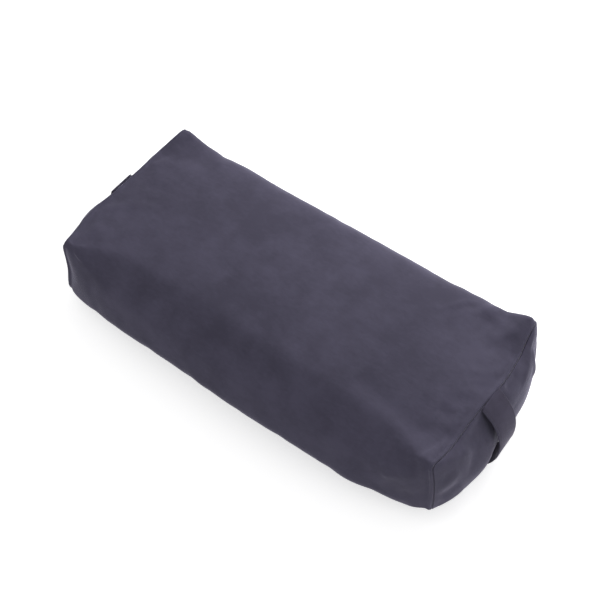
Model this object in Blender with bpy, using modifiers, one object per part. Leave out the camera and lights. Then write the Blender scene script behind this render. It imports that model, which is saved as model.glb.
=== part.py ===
"""Rectangular yoga bolster.

A zipped cloth cover with a carry handle on each end, over an insert of foam slabs
wrapped in wadding inside a liner bag. Lengths are in metres. X runs along the
bolster, the zip is on the back (+Y), and the floor is at Z = 0.
"""

import math

import bmesh
import bpy
from mathutils import Vector

# Cover, measured from seam to seam
SEAM_LENGTH = 0.634
SEAM_WIDTH = 0.260
SEAM_HEIGHT = 0.130
COVER_CLOTH = 0.0014

# Edges of the stuffed cover, seen from its end
BACK_TOP_RADIUS_MIDDLE = 0.0215
FRONT_TOP_RADIUS_MIDDLE = 0.038
TOP_RADIUS_END = 0.009
FRONT_FOOT_RADIUS_MIDDLE = 0.062
FRONT_FOOT_RADIUS_END = 0.040
BACK_FOOT_RADIUS = 0.030
EDGE_BLEND = 0.231

# How the stuffing swells the cloth between the seams
TOP_CROWN = 0.0072
FRONT_BELLY = 0.0385
FRONT_BELLY_LEVEL = 0.13
FRONT_BELLY_FALL = 1.2
BACK_BELLY = 0.0084
BACK_BELLY_RISE = 0.042
END_CROWN = 0.028
END_CROWN_POWER = 2.8

# How the end seams bow out in the middle, the ears at their top corners, and the lift
# of their foot corners
SEAM_BOW_ACROSS = 0.0103
SEAM_BOW_UPRIGHT = 0.0079
SEAM_LEAN = -0.0074
CORNER_REACH = 0.055
EAR_OUT = 0.0005
EAR_UP = 0.0125
FOOT_LIFT = 0.008
FOOT_LIFT_LEVEL = 0.35

# Fits between pieces
SEAT_GAP = 0.0003
CLOTH_GAP = 0.0005
RUNNING_GAP = 0.0003
CORNER_SLACK = 0.0014

# End panels: a turned-in seam allowance behind each rim, and the hollow behind the handle
ALLOWANCE = 0.010
HANDLE_HOLLOW = 0.006
HANDLE_HOLLOW_WIDTH = 0.045

# Binding tape over the raw edges of each end seam
BINDING_TAPE = 0.0008
BINDING_WIDTH = 0.006
BINDING_START = 0.005

# Carry handles: a folded strip, its ends sewn into the seam above and below the end panel.
# The near one bows out, and the far one lies on its panel.
HANDLE_WIDTH = 0.042
HANDLE_THICKNESS = 0.0024
HANDLE_TOP_SEAT = (0.0028, -0.0006)
HANDLE_TOP_PULL = (0.0420, -0.0370)
HANDLE_FOOT_PULL = (0.0283, 0.0030)
HANDLE_FOOT_SEAT = (0.0030, 0.0029)
HANDLE_STEPS = 18
HANDLE_LYING_GAP = 0.0008
HANDLE_LYING_ENDS = (0.0045, 0.0040)

# Zip: a moulded chain on two tapes, set in a slot of the cover's back
TOOTH_PITCH = 0.005
ZIP_FROM_SEAM = 0.082
TOOTH_CLEARANCE = 0.0003
TOOTH_PAST_CENTRE = 0.0014
TOOTH_TAPER = 0.0004
CHAIN_HALF_WIDTH = 0.0036
CHAIN_SPINE = 0.0016
CHAIN_THICKNESS = 0.0026
TAPE_THICKNESS = 0.0008
TAPE_REACH = 0.0135
TAPE_APART = 0.0018
TAPE_OVERRUN = 0.012
SLOT_HALF_HEIGHT = 0.0075
SLOT_END_ROOM = 0.002
SLOT_CUT_DEPTH = 0.004
ZIP_ABOVE_FOOT = 0.0145

# Slider: two plates joined by a wedge, with a bridge that the pull hangs on
SLIDER_LENGTH = 0.013
SLIDER_WIDTH = 0.0122
SLIDER_NOSE_WIDTH = 0.0104
SLIDER_PLATE = 0.0013
SLIDER_CORNER = 0.0012
SLIDER_WALL = 0.0011
WEDGE_LENGTH = 0.0036
WEDGE_WIDTH = 0.0028
WEDGE_FROM_NOSE = 0.0003
BRIDGE_WIRE = 0.0016
BRIDGE_SPAN = 0.0092
BRIDGE_CLEAR = 0.0026
BRIDGE_TOP = 0.0042
BRIDGE_STEPS = 10
JOIN_DEPTH = 0.0003

# Pull: a flat tab with a window round the bridge
PULL_LENGTH = 0.034
PULL_WIDTH = 0.009
PULL_NECK_WIDTH = 0.0068
PULL_THICKNESS = 0.0014
PULL_BAR = 0.0014
PULL_ABOVE_PLATE = 0.0013
PULL_WINDOW_LENGTH = 0.0060
PULL_WINDOW_WIDTH = 0.0030
PULL_HOLE_RADIUS = 0.0022
PULL_CORNER_RADIUS = 0.0026
PULL_HOLE_STEPS = 16

# Stops at the ends of the chain
STOP_LENGTH = 0.004
STOP_HEIGHT = 0.003
STOP_EDGE = 0.0004

# Insert: liner bag, wadding and foam
LINER_CLOTH = 0.0008
LINER_ALLOWANCE = 0.006
FOAM_FROM_SEAM = 0.032
FOAM_FROM_SIDE = 0.030
SLAB_THICKNESS = 0.033
SLAB_COUNT = 3
SLAB_EDGE = 0.004

# Grid of the stuffed surfaces
SIDE_STEPS = 4
CORNER_STEPS = 4
TOP_STEPS = 7
BOTTOM_STEPS = 5
LENGTH_STEPS = 14
DOME_SHARES = (0.28, 0.52, 0.72, 0.86, 0.95)
SMALLEST_RADIUS = 0.0015
FLATTEN_ROUNDS = 8
ARC_STEPS = 6
SMOOTH_ANGLE = math.radians(40)

ENDS = {"near": 1, "far": -1}

# Places that follow from the sizes above
ZIP_Z = BACK_FOOT_RADIUS + ZIP_ABOVE_FOOT
BACK_BELLY_START = ZIP_Z + TAPE_REACH
ALLOWANCE_INSET = COVER_CLOTH + CLOTH_GAP
BINDING_INSET = ALLOWANCE_INSET + COVER_CLOTH + CLOTH_GAP
LINER_INSET = COVER_CLOTH + CLOTH_GAP
LINER_END_ROOM = BINDING_INSET + BINDING_TAPE + CORNER_SLACK - LINER_INSET
LINER_RIM_STEP = COVER_CLOTH + CLOTH_GAP
ZIP_ROOM = COVER_CLOTH + SEAT_GAP + TAPE_THICKNESS + RUNNING_GAP + SLIDER_PLATE + CLOTH_GAP - LINER_INSET
ALLOWANCE_ZONE = ALLOWANCE + 0.004
ALLOWANCE_FADE = 0.034
WADDING_INSET = LINER_INSET + LINER_CLOTH + CORNER_SLACK
WADDING_RIM_STEP = LINER_RIM_STEP + LINER_CLOTH + CLOTH_GAP
WADDING_END_ROOM = LINER_END_ROOM + LINER_CLOTH + CLOTH_GAP
FOAM_LENGTH = SEAM_LENGTH - 2 * FOAM_FROM_SEAM
FOAM_WIDTH = SEAM_WIDTH - 2 * FOAM_FROM_SIDE
FOAM_HEIGHT = SLAB_COUNT * SLAB_THICKNESS + (SLAB_COUNT - 1) * SEAT_GAP
TOOTH_COUNT = round((SEAM_LENGTH - 2 * ZIP_FROM_SEAM) / TOOTH_PITCH)
ROW_LENGTH = TOOTH_COUNT * TOOTH_PITCH
TOOTH_HALF = (TOOTH_PITCH / 2 - TOOTH_CLEARANCE) / 2
TOOTH_ROOT = CHAIN_HALF_WIDTH - CHAIN_SPINE
TOOTH_ROOT_HALF = TOOTH_HALF + TOOTH_TAPER * TOOTH_ROOT / TOOTH_PAST_CENTRE
CHAIN_END = ROW_LENGTH / 2 - TOOTH_PITCH / 4 + TOOTH_ROOT_HALF
WEDGE_X = SLIDER_LENGTH / 2 - WEDGE_FROM_NOSE - WEDGE_LENGTH / 2
SLIDER_X = CHAIN_END + RUNNING_GAP + WEDGE_LENGTH / 2 - WEDGE_X
TOP_STOP_X = SLIDER_X + SLIDER_LENGTH / 2 + RUNNING_GAP
BOTTOM_STOP_X = -CHAIN_END - SEAT_GAP - STOP_LENGTH
ZIP_SLOT_LOW = BOTTOM_STOP_X - SLOT_END_ROOM
ZIP_SLOT_HIGH = TOP_STOP_X + STOP_LENGTH + SLOT_END_ROOM

COLOURS = {
    "cover cloth": ((0.072, 0.068, 0.096), 0.85, 0.0),
    "handle cloth": ((0.066, 0.060, 0.084), 0.80, 0.0),
    "binding": ((0.050, 0.048, 0.066), 0.80, 0.0),
    "zip tape": ((0.055, 0.052, 0.072), 0.75, 0.0),
    "zip teeth": ((0.030, 0.029, 0.038), 0.45, 0.0),
    "zip metal": ((0.120, 0.120, 0.135), 0.35, 1.0),
    "liner cloth": ((0.680, 0.660, 0.600), 0.80, 0.0),
    "wadding": ((0.820, 0.820, 0.800), 0.95, 0.0),
    "foam": ((0.640, 0.600, 0.420), 0.90, 0.0),
}


def ease(t):
    """Smooth step from 0 to 1."""
    t = min(max(t, 0.0), 1.0)
    return t * t * (3 - 2 * t)


def blend(a, b, share):
    return a + (b - a) * share


def outline(half_width, low, high, back_top, front_top, front_foot, back_foot):
    """Closed section of straight runs and quarter arcs, as (y, z) from the back foot upwards.

    The last four are the radii of its corners.
    """
    points = []

    def run(start, end, steps):
        for i in range(steps):
            share = i / steps
            points.append((blend(start[0], end[0], share), blend(start[1], end[1], share)))

    def arc(centre, radius, first_angle):
        for i in range(CORNER_STEPS):
            angle = first_angle + math.pi / 2 * i / CORNER_STEPS
            points.append((centre[0] + radius * math.cos(angle), centre[1] + radius * math.sin(angle)))

    run((half_width, low + back_foot), (half_width, high - back_top), SIDE_STEPS)
    arc((half_width - back_top, high - back_top), back_top, 0)
    run((half_width - back_top, high), (-half_width + front_top, high), TOP_STEPS)
    arc((-half_width + front_top, high - front_top), front_top, math.pi / 2)
    run((-half_width, high - front_top), (-half_width, low + front_foot), SIDE_STEPS)
    arc((-half_width + front_foot, low + front_foot), front_foot, math.pi)
    run((-half_width + front_foot, low), (half_width - back_foot, low), BOTTOM_STEPS)
    arc((half_width - back_foot, low + back_foot), back_foot, -math.pi / 2)
    return points


def stuffed_ring(station, inset=0.0, back_room=0.0):
    """Section of the stuffed cover at a station from -1 to 1, moved in by inset.

    The swelling is worked out on the outer face and carried to the layers inside it.
    back_room moves the back wall in further, where the insert makes room for the zip.
    """
    side = math.copysign(1, station)
    from_seam = (1 - abs(station)) * SEAM_LENGTH / 2
    at_end = 1 - ease(from_seam / EDGE_BLEND)
    radii = (
        blend(BACK_TOP_RADIUS_MIDDLE, TOP_RADIUS_END, at_end),
        blend(FRONT_TOP_RADIUS_MIDDLE, TOP_RADIUS_END, at_end),
        blend(FRONT_FOOT_RADIUS_MIDDLE, FRONT_FOOT_RADIUS_END, at_end),
        BACK_FOOT_RADIUS,
    )
    half_width = SEAM_WIDTH / 2
    outer_face = outline(half_width, 0.0, SEAM_HEIGHT, *radii)
    layer_radii = [max(radius - inset, SMALLEST_RADIUS) for radius in radii]
    layer = outline(half_width - inset - back_room / 2, inset, SEAM_HEIGHT - inset, *layer_radii)
    swell = 1 - abs(station) ** 3
    near_seam = math.exp(-((from_seam / CORNER_REACH) ** 2))
    bow_here = side * abs(station) ** 6
    ring = []
    for (y, z), (layer_y, layer_z) in zip(outer_face, layer):
        across = y / half_width
        level = z / SEAM_HEIGHT
        if y < 0:
            belly = -FRONT_BELLY * (1 - FRONT_BELLY_FALL * (level - FRONT_BELLY_LEVEL) ** 2)
        else:
            belly = BACK_BELLY * ease((level * SEAM_HEIGHT - BACK_BELLY_START) / BACK_BELLY_RISE)
        belly *= abs(across) ** 3 * swell
        ear = near_seam * ease((abs(across) - 0.55) / 0.45) * ease((level - 0.5) / 0.5)
        lift = near_seam * ease((abs(across) - 0.7) / 0.3) * (1 - ease(level / FOOT_LIFT_LEVEL))
        bow = SEAM_BOW_ACROSS * across**2 + SEAM_BOW_UPRIGHT * (2 * level - 1) ** 2
        crown = TOP_CROWN * swell * (1 - across**2) * ease(level)
        ring.append(
            Vector(
                (
                    station * SEAM_LENGTH / 2 + bow_here * (SEAM_LEAN * (level - 0.5) - bow),
                    layer_y - back_room / 2 + belly + math.copysign(EAR_OUT * ear, y),
                    layer_z + crown + EAR_UP * ear + FOOT_LIFT * lift,
                )
            )
        )
    return ring


def flat_ring(x, inset_at, back_room):
    """Section of a layer by the plane at x, where inset_at gives its inset at each place."""
    ring = []
    for i in range(len(stuffed_ring(0.0))):
        station = x / (SEAM_LENGTH / 2)
        for _ in range(FLATTEN_ROUNDS):
            from_seam = (1 - abs(station)) * SEAM_LENGTH / 2
            point = stuffed_ring(station, inset_at(from_seam), back_room)[i]
            station += (x - point.x) / (SEAM_LENGTH / 2)
        ring.append(Vector((x, point.y, point.z)))
    return ring


def centre_shift():
    """Move in Y that puts the middle of the footprint's box on the origin."""
    ys = [point.y for point in stuffed_ring(0.0)]
    return -(min(ys) + max(ys)) / 2


def back_face_y():
    """Outer face of the cover's back, where it is flat along the zip."""
    return SEAM_WIDTH / 2 + centre_shift()


def station_at(from_seam):
    """Station that lies this far from the seam plane, towards the middle."""
    return 1 - 2 * from_seam / SEAM_LENGTH


def length_stations():
    """Stations from end to end, closer together near the ends."""
    return [math.sin(math.pi * (i / LENGTH_STEPS - 0.5)) for i in range(LENGTH_STEPS + 1)]


def insert_stations(end):
    """Stations of the insert: its ends, the start of the allowances' zone, then the cover's own."""
    zone = station_at(ALLOWANCE_ZONE)
    between = [station for station in length_stations() if abs(station) < zone]
    return [-end, -zone, *between, zone, end]


def allowance_room(from_seam):
    """Share of the seam allowances' thickness that the insert gives way to, here."""
    return 1 - ease((from_seam - ALLOWANCE_ZONE) / ALLOWANCE_FADE)


def end_swell(y, share):
    """Swell of an end panel at a share of the way to its rim: its crown, less the handle's hollow."""
    hollow = HANDLE_HOLLOW * math.exp(-((y / HANDLE_HOLLOW_WIDTH) ** 2)) * (1 - share**4)
    return END_CROWN * (1 - share**END_CROWN_POWER) - hollow


def dome_rings(rim, side):
    """Rings from a rim's middle out towards it, and the tip that closes them."""
    middle = sum(rim, Vector()) / len(rim)
    middle = Vector((middle.x, 0, SEAM_HEIGHT / 2))

    def raised(point, share):
        return point + Vector((side * end_swell(point.y, share), 0, 0))

    rings = [[raised(middle + (point - middle) * share, share) for point in rim] for share in DOME_SHARES]
    return rings, raised(middle, 0.0)


def new_object(name, mesh, collection, colour):
    mesh.materials.append(material(colour))
    mesh.shade_smooth()
    mesh.set_sharp_from_angle(angle=SMOOTH_ANGLE)
    obj = bpy.data.objects.new(name, mesh)
    collection.objects.link(obj)
    return obj


def material(colour):
    """Principled material of this finish, made once."""
    found = bpy.data.materials.get(colour)
    if found:
        return found
    base, roughness, metallic = COLOURS[colour]
    made = bpy.data.materials.new(colour)
    made.use_nodes = True
    shader = made.node_tree.nodes["Principled BSDF"]
    shader.inputs["Base Color"].default_value = (*base, 1)
    shader.inputs["Roughness"].default_value = roughness
    shader.inputs["Metallic"].default_value = metallic
    made.diffuse_color = (*base, 1)
    return made


def loft(name, rings, collection, colour, tips=None):
    """Closed solid through rings of equal length.

    With two tips the first and last rings end in fans, and without tips the last ring
    joins the first, as in a sleeve with a wall. Diagonals run the same way in every
    layer, so that nested layers stay parallel.
    """
    bm = bmesh.new()
    shift = Vector((0, centre_shift(), 0))
    rows = [[bm.verts.new(point + shift) for point in ring] for ring in rings]
    pairs = list(zip(rows, rows[1:]))
    if tips is None:
        pairs.append((rows[-1], rows[0]))
    count = len(rings[0])
    for near, far in pairs:
        if sum(vertex.co.x for vertex in near) > sum(vertex.co.x for vertex in far):
            near, far = far, near
        for i in range(count):
            j = (i + 1) % count
            bm.faces.new((near[i], near[j], far[j]))
            bm.faces.new((near[i], far[j], far[i]))
    if tips is not None:
        for tip, row in zip(tips, (rows[0], rows[-1])):
            peak = bm.verts.new(tip + shift)
            for i in range(count):
                bm.faces.new((row[i], row[(i + 1) % count], peak))
    bmesh.ops.recalc_face_normals(bm, faces=bm.faces)
    mesh = bpy.data.meshes.new(name)
    bm.to_mesh(mesh)
    bm.free()
    return new_object(name, mesh, collection, colour)


def box(name, low, high, collection, colour, edge=0.0):
    """Block between two corners, with rounded edges where edge is given."""
    bm = bmesh.new()
    bmesh.ops.create_cube(bm, size=1)
    size = Vector(high) - Vector(low)
    bmesh.ops.scale(bm, vec=size, verts=bm.verts)
    mesh = bpy.data.meshes.new(name)
    bm.to_mesh(mesh)
    bm.free()
    obj = new_object(name, mesh, collection, colour)
    obj.location = (Vector(low) + Vector(high)) / 2
    if edge:
        rounding = obj.modifiers.new("rounded edges", "BEVEL")
        rounding.width = edge
        rounding.segments = 2
    return obj


def plate(name, outlines, thickness, collection, colour, upright=True):
    """Flat plate from closed outlines, half its thickness each side of its plane.

    The plane is XZ, or XY where it isn't upright.
    """
    curve = bpy.data.curves.new(name, "CURVE")
    curve.dimensions = "2D"
    curve.fill_mode = "BOTH"
    curve.extrude = thickness / 2
    for points in outlines:
        spline = curve.splines.new("POLY")
        spline.points.add(len(points) - 1)
        for point, (x, z) in zip(spline.points, points):
            point.co = (x, z, 0, 1)
        spline.use_cyclic_u = True
    drawn = bpy.data.objects.new(name, curve)
    if upright:
        drawn.rotation_euler = (math.radians(90), 0, 0)
    return as_mesh(drawn, collection, colour)


def as_mesh(drawn, collection, colour):
    """Turn a curve object into a welded mesh object of the same name."""
    collection.objects.link(drawn)
    bpy.context.view_layer.update()
    graph = bpy.context.evaluated_depsgraph_get()
    mesh = bpy.data.meshes.new_from_object(drawn.evaluated_get(graph))
    bm = bmesh.new()
    bm.from_mesh(mesh)
    bmesh.ops.remove_doubles(bm, verts=bm.verts, dist=1e-6)
    bmesh.ops.recalc_face_normals(bm, faces=bm.faces)
    bm.transform(drawn.matrix_world)
    bm.to_mesh(mesh)
    bm.free()
    name = drawn.name
    curve = drawn.data
    bpy.data.objects.remove(drawn)
    bpy.data.curves.remove(curve)
    mesh.name = name
    return new_object(name, mesh, collection, colour)


def combine(target, operation, operand, helpers):
    """Boolean with a helper that is left out of the build."""
    for collection in list(operand.users_collection):
        collection.objects.unlink(operand)
    helpers.objects.link(operand)
    operand.hide_render = True
    operand.display_type = "WIRE"
    step = target.modifiers.new(operand.name, "BOOLEAN")
    step.operation = operation
    step.solver = "EXACT"
    step.object = operand


def round_outline(low, high, radius):
    """Rectangle with round corners, anticlockwise."""
    points = []
    corners = (
        (high[0] - radius, high[1] - radius, 0),
        (low[0] + radius, high[1] - radius, 90),
        (low[0] + radius, low[1] + radius, 180),
        (high[0] - radius, low[1] + radius, 270),
    )
    for x, z, first in corners:
        for i in range(ARC_STEPS + 1):
            angle = math.radians(first + 90 * i / ARC_STEPS)
            points.append((x + radius * math.cos(angle), z + radius * math.sin(angle)))
    return points


def outer_and_inner(stations, inset, thickness, back_room=0.0, extra=None):
    """Rings of a sleeve's wall: its outer face from end to end, then its inner face back."""

    def ring(station, depth):
        from_seam = (1 - abs(station)) * SEAM_LENGTH / 2
        more = extra * allowance_room(from_seam) if extra else 0.0
        return stuffed_ring(station, depth + more, back_room)

    outer = [ring(station, inset) for station in stations]
    inner = [ring(station, inset + thickness) for station in reversed(stations)]
    return outer + inner


def domed_cup(name, side, rim_station, layer, allowance, collection, colour, back_room=0.0):
    """End piece of a bag: a domed panel with its seam allowance turned in behind the rim.

    layer is the cloth's inset and thickness.
    """
    inset, thickness = layer
    rim = stuffed_ring(side * rim_station, inset, back_room)
    edge = rim_station - 2 * allowance / SEAM_LENGTH
    inner_station = rim_station - 2 * thickness / SEAM_LENGTH
    inner_rim = stuffed_ring(side * inner_station, inset + thickness, back_room)
    outer_dome, outer_tip = dome_rings(rim, side)
    inner_dome, inner_tip = dome_rings(inner_rim, side)
    rings = [
        *outer_dome,
        rim,
        stuffed_ring(side * edge, inset, back_room),
        stuffed_ring(side * edge, inset + thickness, back_room),
        inner_rim,
        *reversed(inner_dome),
    ]
    return loft(name, rings, collection, colour, tips=(outer_tip, inner_tip))


def make_cover(collection, helpers):
    """Wrap of the long sides, top and bottom, with its zip slot, and the two end panels."""
    rings = outer_and_inner(length_stations(), 0.0, COVER_CLOTH)
    wrap = loft("cover_wrap", rings, collection, "cover cloth")
    back = back_face_y()
    slot = box(
        "zip_slot_cutter",
        (ZIP_SLOT_LOW, back - SLOT_CUT_DEPTH, ZIP_Z - SLOT_HALF_HEIGHT),
        (ZIP_SLOT_HIGH, back + SLOT_CUT_DEPTH, ZIP_Z + SLOT_HALF_HEIGHT),
        collection,
        "cover cloth",
    )
    combine(wrap, "DIFFERENCE", slot, helpers)
    layer = (ALLOWANCE_INSET, COVER_CLOTH)
    for end, side in ENDS.items():
        domed_cup(f"end_panel_{end}", side, 1.0, layer, ALLOWANCE, collection, "cover cloth")


def make_binding(collection):
    """Tape folded over the raw edges inside each end seam."""
    for end, side in ENDS.items():
        stations = [side * station_at(BINDING_START), side * station_at(BINDING_START + BINDING_WIDTH)]
        rings = outer_and_inner(stations, BINDING_INSET, BINDING_TAPE)
        loft(f"seam_tape_{end}", rings, collection, "binding")


def panel_front(y, z):
    """X of the near end panel's outer face at a place inside its rim."""
    rim = stuffed_ring(1.0, ALLOWANCE_INSET)
    middle = Vector((sum(point.x for point in rim) / len(rim), SEAM_HEIGHT / 2))
    ray = Vector((y, z - middle.y))
    for first, second in zip(rim, rim[1:] + rim[:1]):
        a = Vector((first.y, first.z - middle.y))
        b = Vector((second.y, second.z - middle.y))
        before, after = a.cross(ray), ray.cross(b)
        if before < 0 or after < 0 or ray.dot(a) < 0:
            continue
        along = before / (before + after)
        share = ray.length / a.lerp(b, along).length
        rim_x = blend(first.x, second.x, along)
        return blend(middle.x, rim_x, share) + end_swell(y, share)
    return middle.x + end_swell(y, 0.0)


def bowed_handle(start, finish):
    """Outer and inner face of a handle that bows out between its seats, as x and z."""
    pulls = start + Vector(HANDLE_TOP_PULL), finish + Vector(HANDLE_FOOT_PULL)
    outer, inner = [], []
    for i in range(HANDLE_STEPS + 1):
        t = i / HANDLE_STEPS
        u = 1 - t
        weights = (u**3, 3 * u**2 * t, 3 * u * t**2, t**3)
        slopes = (-3 * u**2, 3 * u**2 - 6 * u * t, 6 * u * t - 3 * t**2, 3 * t**2)
        points = (start, *pulls, finish)
        place = sum((point * weight for point, weight in zip(points, weights)), Vector((0, 0)))
        along = sum((point * slope for point, slope in zip(points, slopes)), Vector((0, 0))).normalized()
        outer.append(place)
        inner.append(place + Vector((along.y, -along.x)) * HANDLE_THICKNESS)
    return outer, inner


def lying_handle(start, finish):
    """Outer and inner face of a handle that lies on its end panel, as x and z."""
    top = start.y - HANDLE_LYING_ENDS[0]
    foot = finish.y + HANDLE_LYING_ENDS[1]
    half_width = HANDLE_WIDTH / 2
    across = [half_width * share for share in (-1, -0.5, 0, 0.5, 1)]
    inner = []
    for i in range(HANDLE_STEPS + 1):
        share = (1 - math.cos(math.pi * i / HANDLE_STEPS)) / 2
        z = blend(top, foot, share)
        x = max(panel_front(y, z) for y in across) + HANDLE_LYING_GAP
        inner.append(Vector((x, z)))
    outer = []
    for i, place in enumerate(inner):
        along = (inner[min(i + 1, HANDLE_STEPS)] - inner[max(i - 1, 0)]).normalized()
        outer.append(place + Vector((-along.y, along.x)) * HANDLE_THICKNESS)
    return outer, inner


def make_handles(collection):
    """Flat strips over the end panels."""
    rim = sorted(stuffed_ring(1.0), key=lambda point: abs(point.y))
    top = next(point for point in rim if point.z > SEAM_HEIGHT / 2)
    foot = next(point for point in rim if point.z < SEAM_HEIGHT / 2)
    start = Vector((top.x, top.z)) + Vector(HANDLE_TOP_SEAT)
    finish = Vector((foot.x, foot.z)) + Vector(HANDLE_FOOT_SEAT)
    faces = {"near": bowed_handle(start, finish), "far": lying_handle(start, finish)}
    for end, side in ENDS.items():
        outer, inner = faces[end]
        strip = [(side * x, z) for x, z in outer + inner[::-1]]
        handle = plate(f"handle_{end}", [strip], HANDLE_WIDTH, collection, "handle cloth")
        handle.location.y = centre_shift()


def tooth_half_width(level):
    """Half the width of a tooth, this far from the chain's middle towards its root."""
    return TOOTH_HALF + TOOTH_TAPER * level / TOOTH_PAST_CENTRE


def row_outline(first_x):
    """Spine and teeth of the upper row, as (x, z) about the chain's middle."""
    tip = -TOOTH_PAST_CENTRE
    last_x = first_x + (TOOTH_COUNT - 1) * TOOTH_PITCH
    reach = TOOTH_ROOT_HALF
    points = [(last_x + reach, CHAIN_HALF_WIDTH), (first_x - reach, CHAIN_HALF_WIDTH)]
    for i in range(TOOTH_COUNT):
        x = first_x + i * TOOTH_PITCH
        points.append((x - reach, TOOTH_ROOT))
        points.append((x - tooth_half_width(tip), tip))
        points.append((x + tooth_half_width(tip), tip))
        points.append((x + reach, TOOTH_ROOT))
    return points


def make_zip(collection):
    """Tapes, the two meshed rows of teeth and the stops."""
    back = back_face_y()
    tape_front = back - COVER_CLOTH - SEAT_GAP
    chain_middle = tape_front + SEAT_GAP + CHAIN_THICKNESS / 2
    chain_start = -ROW_LENGTH / 2 + TOOTH_PITCH / 4
    for row, side, first_x in (("upper", 1, chain_start), ("lower", -1, chain_start + TOOTH_PITCH / 2)):
        edges = sorted((ZIP_Z + side * TAPE_APART, ZIP_Z + side * TAPE_REACH))
        box(
            f"zip_tape_{row}",
            (ZIP_SLOT_LOW - TAPE_OVERRUN, tape_front - TAPE_THICKNESS, edges[0]),
            (ZIP_SLOT_HIGH + TAPE_OVERRUN, tape_front, edges[1]),
            collection,
            "zip tape",
        )
        points = [(x, side * z) for x, z in row_outline(first_x)]
        teeth = plate(f"zip_teeth_{row}", [points], CHAIN_THICKNESS, collection, "zip teeth")
        teeth.location = (0, chain_middle, ZIP_Z)
        stop_edges = sorted(ZIP_Z + side * (TAPE_APART + reach) for reach in (0, STOP_HEIGHT))
        make_stop(f"zip_top_stop_{row}", TOP_STOP_X, stop_edges, collection)
    edges = (ZIP_Z - CHAIN_HALF_WIDTH, ZIP_Z + CHAIN_HALF_WIDTH)
    make_stop("zip_bottom_stop", BOTTOM_STOP_X, edges, collection)


def make_stop(name, x, edges, collection):
    """Block clamped on the tape, as thick as the chain."""
    back = back_face_y() - COVER_CLOTH
    low = (x, back, edges[0])
    high = (x + STOP_LENGTH, back + CHAIN_THICKNESS, edges[1])
    box(name, low, high, collection, "zip metal", STOP_EDGE)


def slider_outline():
    """Front plate of the slider: wide where the rows part, narrow where they leave joined."""
    half = SLIDER_LENGTH / 2
    wide, narrow = SLIDER_WIDTH / 2, SLIDER_NOSE_WIDTH / 2
    upper = [
        (half, wide - SLIDER_CORNER),
        (half - SLIDER_CORNER, wide),
        (-half + SLIDER_CORNER, narrow),
        (-half, narrow - SLIDER_CORNER),
    ]
    return upper + [(x, -z) for x, z in reversed(upper)]


def make_slider(collection, helpers):
    """Front and rear plates joined by a wedge, side walls, and the bridge for the pull."""
    back = back_face_y()
    tape_front = back - COVER_CLOTH - SEAT_GAP
    inner_face = tape_front + SEAT_GAP + CHAIN_THICKNESS + RUNNING_GAP
    outer_face = inner_face + SLIDER_PLATE
    rear_face = tape_front - TAPE_THICKNESS - RUNNING_GAP
    rear_depth = inner_face - rear_face + SLIDER_PLATE
    slider = plate("zip_slider", [slider_outline()], SLIDER_PLATE, collection, "zip metal")
    slider.location = (SLIDER_X, inner_face + SLIDER_PLATE / 2, ZIP_Z)

    rear = plate("slider_rear_plate", [slider_outline()], SLIDER_PLATE, collection, "zip metal")
    rear.location = (SLIDER_X, rear_face - SLIDER_PLATE / 2, ZIP_Z)
    half = WEDGE_LENGTH / 2
    diamond = [(half, 0), (0, WEDGE_WIDTH / 2), (-half, 0), (0, -WEDGE_WIDTH / 2)]
    wedge = plate("slider_wedge", [diamond], rear_depth, collection, "zip metal")
    wedge.location = (SLIDER_X + WEDGE_X, inner_face + JOIN_DEPTH - rear_depth / 2, ZIP_Z)

    wall_depth = inner_face + JOIN_DEPTH - (tape_front + RUNNING_GAP)
    walls = []
    for side in (1, -1):
        (_, _), (front_x, wide), (rear_x, narrow), (_, _) = slider_outline()[:4]
        strip = [
            (front_x, side * wide),
            (rear_x, side * narrow),
            (rear_x, side * (narrow - SLIDER_WALL)),
            (front_x, side * (wide - SLIDER_WALL)),
        ]
        name = "slider_wall_upper" if side > 0 else "slider_wall_lower"
        wall = plate(name, [strip], wall_depth, collection, "zip metal")
        wall.location = (SLIDER_X, inner_face + JOIN_DEPTH - wall_depth / 2, ZIP_Z)
        walls.append(wall)

    span = BRIDGE_SPAN / 2
    inner_span = span - BRIDGE_WIRE
    angles = [math.pi * i / BRIDGE_STEPS for i in range(BRIDGE_STEPS + 1)]
    arch = [(span, -JOIN_DEPTH)]
    arch += [(span * math.cos(angle), BRIDGE_TOP * math.sin(angle)) for angle in angles]
    arch += [(-span, -JOIN_DEPTH), (-inner_span, -JOIN_DEPTH)]
    arch += [(inner_span * math.cos(angle), BRIDGE_CLEAR * math.sin(angle)) for angle in reversed(angles)]
    arch.append((inner_span, -JOIN_DEPTH))
    bridge = plate("slider_bridge", [arch], BRIDGE_WIRE, collection, "zip metal", upright=False)
    bridge.location = (SLIDER_X, outer_face, ZIP_Z)
    for piece in (rear, wedge, *walls, bridge):
        combine(slider, "UNION", piece, helpers)


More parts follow.
